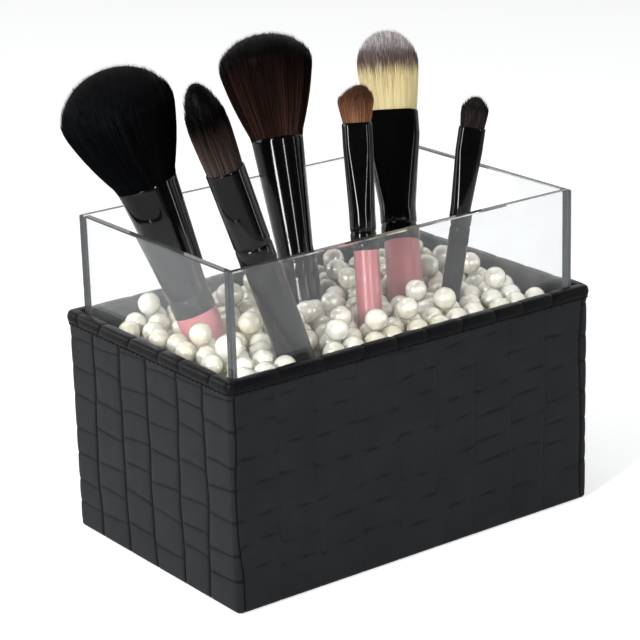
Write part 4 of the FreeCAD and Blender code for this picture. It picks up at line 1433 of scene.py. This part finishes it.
def brush_stems():
    """For each brush: a point low on its centre line, its axis and its thickest radius."""
    stems = []
    for brush in BRUSHES:
        place = BrushPlace(brush)
        foot = ferrule_ends(place)[0]
        stems.append((place.origin, place.turn[:, 2], foot[1] + 0.3 * MM))
    return stems


# Beads nearer than this many radii are kept apart, each moved by this share of their overlap.
NEAR_BEADS = 2.4
BEAD_PUSH = 0.45
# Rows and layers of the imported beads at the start, and how near a shown bead one may stay.
ROW_PITCH = 0.92
LAYER_PITCH = 0.84
CLEAR_OF_SHOWN = 1.86
SETTLE_STEPS = 60
SETTLE_FALL = 0.0003


def touching(points, reach):
    """Pairs of points nearer than a reach."""
    order = np.argsort(points[:, 0])
    along = points[order, 0]
    last = np.searchsorted(along, along + reach)
    firsts = []
    seconds = []
    for index, end in enumerate(last):
        near = points[order[index + 1:end]] - points[order[index]]
        found = np.nonzero((near ** 2).sum(-1) < reach ** 2)[0]
        firsts.append(np.full(len(found), order[index]))
        seconds.append(order[index + 1 + found])
    return np.concatenate(firsts), np.concatenate(seconds)


def settle(points, held, radius, low, high, stems):
    """Lets beads drop and push each other, the walls and the brushes apart.

    The first points, as many as are held, stay where they are.
    """
    fixed = points[:held].copy()
    for step in range(SETTLE_STEPS):
        points[:, 2] -= SETTLE_FALL * (1 - step / SETTLE_STEPS)
        if step % 8 == 0:
            first, second = touching(points, NEAR_BEADS * radius)
        for _ in range(2):
            gap = points[first] - points[second]
            away = np.linalg.norm(gap, axis=1)
            overlap = np.maximum(2 * radius - away, 0)
            push = gap / np.maximum(away, 1e-9)[:, None] * (BEAD_PUSH * overlap)[:, None]
            np.add.at(points, first, push)
            np.add.at(points, second, -push)
            for base, axis, thick in stems:
                out = points - base
                height = out @ axis
                side = out - height[:, None] * axis
                far = np.linalg.norm(side, axis=1)
                need = np.where(height > 0, thick + radius - far, 0)
                shove = np.maximum(need, 0) / np.maximum(far, 1e-9)
                points += side * shove[:, None]
            points[:] = np.clip(points, low + radius, high - radius)
            points[:held] = fixed


def pack_beads(settings, low, high, shown):
    """Centres of the beads packed in the liner under the ones that are shown."""
    rng = np.random.default_rng(settings.seed)
    radius = settings.diameter / 2
    room = high - low
    pitch = settings.diameter * 1.02
    layers = int(room[2] / (LAYER_PITCH * pitch)) + 1
    seeds = []
    for layer in range(layers):
        for row in range(int(room[1] / (ROW_PITCH * pitch))):
            for column in range(int(room[0] / pitch)):
                seeds.append((
                    low[0] + radius + (column + 0.5 * ((row + layer) % 2)) * pitch,
                    low[1] + radius + (row + 0.33 * (layer % 2)) * ROW_PITCH * pitch,
                    low[2] + radius + layer * LAYER_PITCH * pitch,
                ))
    packed = np.array(seeds) + rng.normal(0, 0.12 * radius, (len(seeds), 3))
    points = np.concatenate((shown, packed))
    ceiling = high.copy()
    ceiling[2] = low[2] + layers * pitch + room[2]
    settle(points, len(shown), radius, low, ceiling, brush_stems())
    packed = points[len(shown):]
    packed = packed[packed[:, 2] < high[2] - 0.6 * radius]
    nearest = np.array([np.linalg.norm(shown - point, axis=1).min() for point in packed])
    return packed[nearest > CLEAR_OF_SHOWN * radius]


def bead_model(radius, sides, rows):
    """One bead: a ball of few faces, a touch out of true as moulded beads are."""
    deselect_all()
    bpy.ops.mesh.primitive_uv_sphere_add(segments=sides, ring_count=rows, radius=radius)
    bead = bpy.context.object
    edit_all(bead)
    bpy.ops.transform.tosphere(value=1.0)
    bpy.ops.transform.resize(value=(1.0, 0.995, 0.985))
    end_edit()
    return bead


def bead_places(points, rng):
    """Where each bead goes, turned at random and a little smaller at most."""
    places = []
    for point in points:
        turn = Matrix.Rotation(rng.uniform(0, 2 * math.pi), 4, Vector(rng.normal(0, 1, 3)))
        places.append(Matrix.Translation(point) @ turn @ Matrix.Scale(rng.uniform(0.975, 1.0), 4))
    return places


class HOLDER_OT_beads(bpy.types.Operator):
    """Heaps the loose pearl beads round the brushes"""

    bl_idname = "holder.beads"
    bl_label = "Beads"

    def execute(self, context):
        settings = context.scene.holder_beads
        left, front, floor = (
            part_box("acrylic_" + side)[1] for side in ("left", "front", "floor")
        )
        right, rear = (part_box("acrylic_" + side)[0] for side in ("right", "rear"))
        low = np.array((left[0], front[1], floor[2]))
        high = np.array((right[0], rear[1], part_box("bead_bed")[1][2]))
        shown = bead_centres("top_beads")
        packed = pack_beads(settings, low, high, shown)
        radius = settings.diameter / 2
        rng = np.random.default_rng(settings.seed + 1)
        pearl = pearl_finish(settings)
        top = scatter("beads_top", bead_model(radius, 12, 8), bead_places(shown, rng))
        under = scatter("beads_packed", bead_model(radius, 8, 6), bead_places(packed, rng))
        hang(top, "beads_top", "liner", "bead", pearl, ["top_beads"])
        hang(under, "beads_packed", "liner", "bead", pearl, ["bead_bed"])
        return {"FINISHED"}


# ---------------------------------------------------------------------- stage


def outwards(azimuth, elevation):
    """The way from the object at angles in degrees, from the front round by the right."""
    azimuth = math.radians(azimuth)
    elevation = math.radians(elevation)
    return Vector((
        math.sin(azimuth) * math.cos(elevation),
        -math.cos(azimuth) * math.cos(elevation),
        math.sin(elevation),
    ))


def add_lamp(name, azimuth, elevation, distance, width, height, power):
    """A soft lamp turned to the object; its azimuth runs from the front round by the left."""
    lamp = bpy.data.lights.new(name, "AREA")
    lamp.shape = "RECTANGLE"
    lamp.size = width
    lamp.size_y = height
    lamp.energy = power
    holder = bpy.data.objects.new(name, lamp)
    bpy.context.collection.objects.link(holder)
    way = outwards(-azimuth, elevation)
    holder.location = Vector(LAMP_AIM) + way * distance
    holder.rotation_euler = (-way).to_track_quat("-Z", "Y").to_euler()


def stage_finish(settings):
    """Pale matt floor, lifted to white where it is looked at and nothing shades it."""
    finish = Finish("studio_floor", settings.floor_colour, 0.9, Specular_IOR_Level=0.1)
    plain = settings.floor_colour
    finish.mottle(3, 2, (0.3, dimmed(plain, 0.985)), (0.7, plain))
    finish.shader.inputs["Emission Color"].default_value = WHITE
    path = finish.node("LightPath").outputs
    seen = finish.math("MAXIMUM", path["Is Camera Ray"], path["Is Transmission Ray"])
    lift = finish.math("MULTIPLY", seen, settings.floor_lift)
    finish.link(lift, finish.shader.inputs["Emission Strength"])
    return finish.material


def build_world():
    """A plain sky; the white backdrop is seen, and gloss shows it on its own side alone."""
    world = bpy.data.worlds.new("studio_world")
    bpy.context.scene.world = world
    world.use_nodes = True
    nodes = Nodes(world.node_tree)
    plain = nodes.tree.nodes["Background"]
    plain.inputs["Color"].default_value = (0.95, 0.97, 1.0, 1)
    white = nodes.node("Background", Color=WHITE, Strength=1.0)
    path = nodes.node("LightPath").outputs
    facing = nodes.node("VectorMath", operation="DOT_PRODUCT")
    nodes.feed(facing.inputs[0], nodes.node("TexCoord").outputs["Generated"])
    nodes.feed(facing.inputs[1], BACKDROP_SIDE)
    backdrop = nodes.node(
        "MapRange", interpolation_type="SMOOTHSTEP",
        From_Min=0.0, From_Max=0.35, To_Min=0.04, To_Max=1.0,
    )
    nodes.link(facing.outputs["Value"], backdrop.inputs["Value"])
    glossy = nodes.math("MULTIPLY", path["Is Glossy Ray"], backdrop.outputs["Result"])
    looked_at = nodes.math("MAXIMUM", path["Is Camera Ray"], path["Is Transmission Ray"])
    seen = nodes.math("MAXIMUM", looked_at, glossy)
    level = nodes.math("MULTIPLY_ADD", path["Is Glossy Ray"], -PLAIN_LEVEL, PLAIN_LEVEL)
    nodes.link(level, plain.inputs["Strength"])
    mix = nodes.mixed_shader(seen, plain.outputs["Background"], white.outputs["Background"])
    nodes.link(mix, nodes.tree.nodes["World Output"].inputs["Surface"])


def set_camera(settings):
    """The camera, turned to the middle of the view and tilted."""
    back = outwards(settings.azimuth, settings.elevation)
    camera = bpy.data.objects.new("camera", bpy.data.cameras.new("camera"))
    bpy.context.collection.objects.link(camera)
    camera.rotation_mode = "QUATERNION"
    aim = (-back).to_track_quat("-Z", "Y").to_matrix()
    aim = aim @ Matrix.Rotation(math.radians(settings.roll), 3, "Z")
    camera.rotation_quaternion = aim.to_quaternion()
    camera.location = Vector(VIEW_AIM) + back * settings.distance
    camera.data.lens = settings.lens
    camera.data.sensor_width = SENSOR_WIDTH
    camera.data.clip_start, camera.data.clip_end = CAMERA_CLIP
    return camera


class HOLDER_OT_stage(bpy.types.Operator):
    """Sets the floor, lamps and camera"""

    bl_idname = "holder.stage"
    bl_label = "Stage"

    def execute(self, context):
        settings = context.scene.holder_stage
        deselect_all()
        bpy.ops.mesh.primitive_plane_add(size=6, location=(0, 0, 0))
        floor = context.object
        floor.name = "studio_floor"
        dress(floor, stage_finish(settings))
        build_world()
        for lamp in LAMPS:
            add_lamp(*lamp)
        context.scene.camera = set_camera(settings)
        context.scene.view_settings.view_transform = "Standard"
        return {"FINISHED"}


class HOLDER_PT_panel(bpy.types.Panel):
    """Lists the holder's pieces in the order in which they are made"""

    bl_idname = "HOLDER_PT_panel"
    bl_label = "Brush holder"
    bl_space_type = "VIEW_3D"
    bl_region_type = "UI"
    bl_category = "Brush holder"

    def draw(self, context):
        for operator in OPERATORS:
            self.layout.operator(operator.bl_idname)
        for name in SETTINGS:
            group = getattr(context.scene, name)
            box = self.layout.box()
            for key in group.bl_rna.properties.keys():
                if key not in ("rna_type", "name"):
                    box.prop(group, key)


OPERATORS = (
    HOLDER_OT_case, HOLDER_OT_liner, HOLDER_OT_handles, HOLDER_OT_ferrules,
    HOLDER_OT_hair, HOLDER_OT_beads, HOLDER_OT_stage,
)
SETTINGS = {
    "holder_leather": LeatherSettings,
    "holder_liner": LinerSettings,
    "holder_beads": BeadSettings,
    "holder_handles": HandleSettings,
    "holder_ferrules": FerruleSettings,
    "holder_hair": HairSettings,
    "holder_stage": StageSettings,
}


def register():
    for group in SETTINGS.values():
        bpy.utils.register_class(group)
    for name, group in SETTINGS.items():
        setattr(bpy.types.Scene, name, PointerProperty(type=group))
    for operator in OPERATORS:
        bpy.utils.register_class(operator)
    bpy.utils.register_class(HOLDER_PT_panel)


def unregister():
    bpy.utils.unregister_class(HOLDER_PT_panel)
    for operator in reversed(OPERATORS):
        bpy.utils.unregister_class(operator)
    for name in SETTINGS:
        delattr(bpy.types.Scene, name)
    for group in reversed(list(SETTINGS.values())):
        bpy.utils.unregister_class(group)


def main():
    register()
    for operator in OPERATORS:
        family, name = operator.bl_idname.split(".")
        getattr(getattr(bpy.ops, family), name)()


if __name__ == "__main__":
    main()
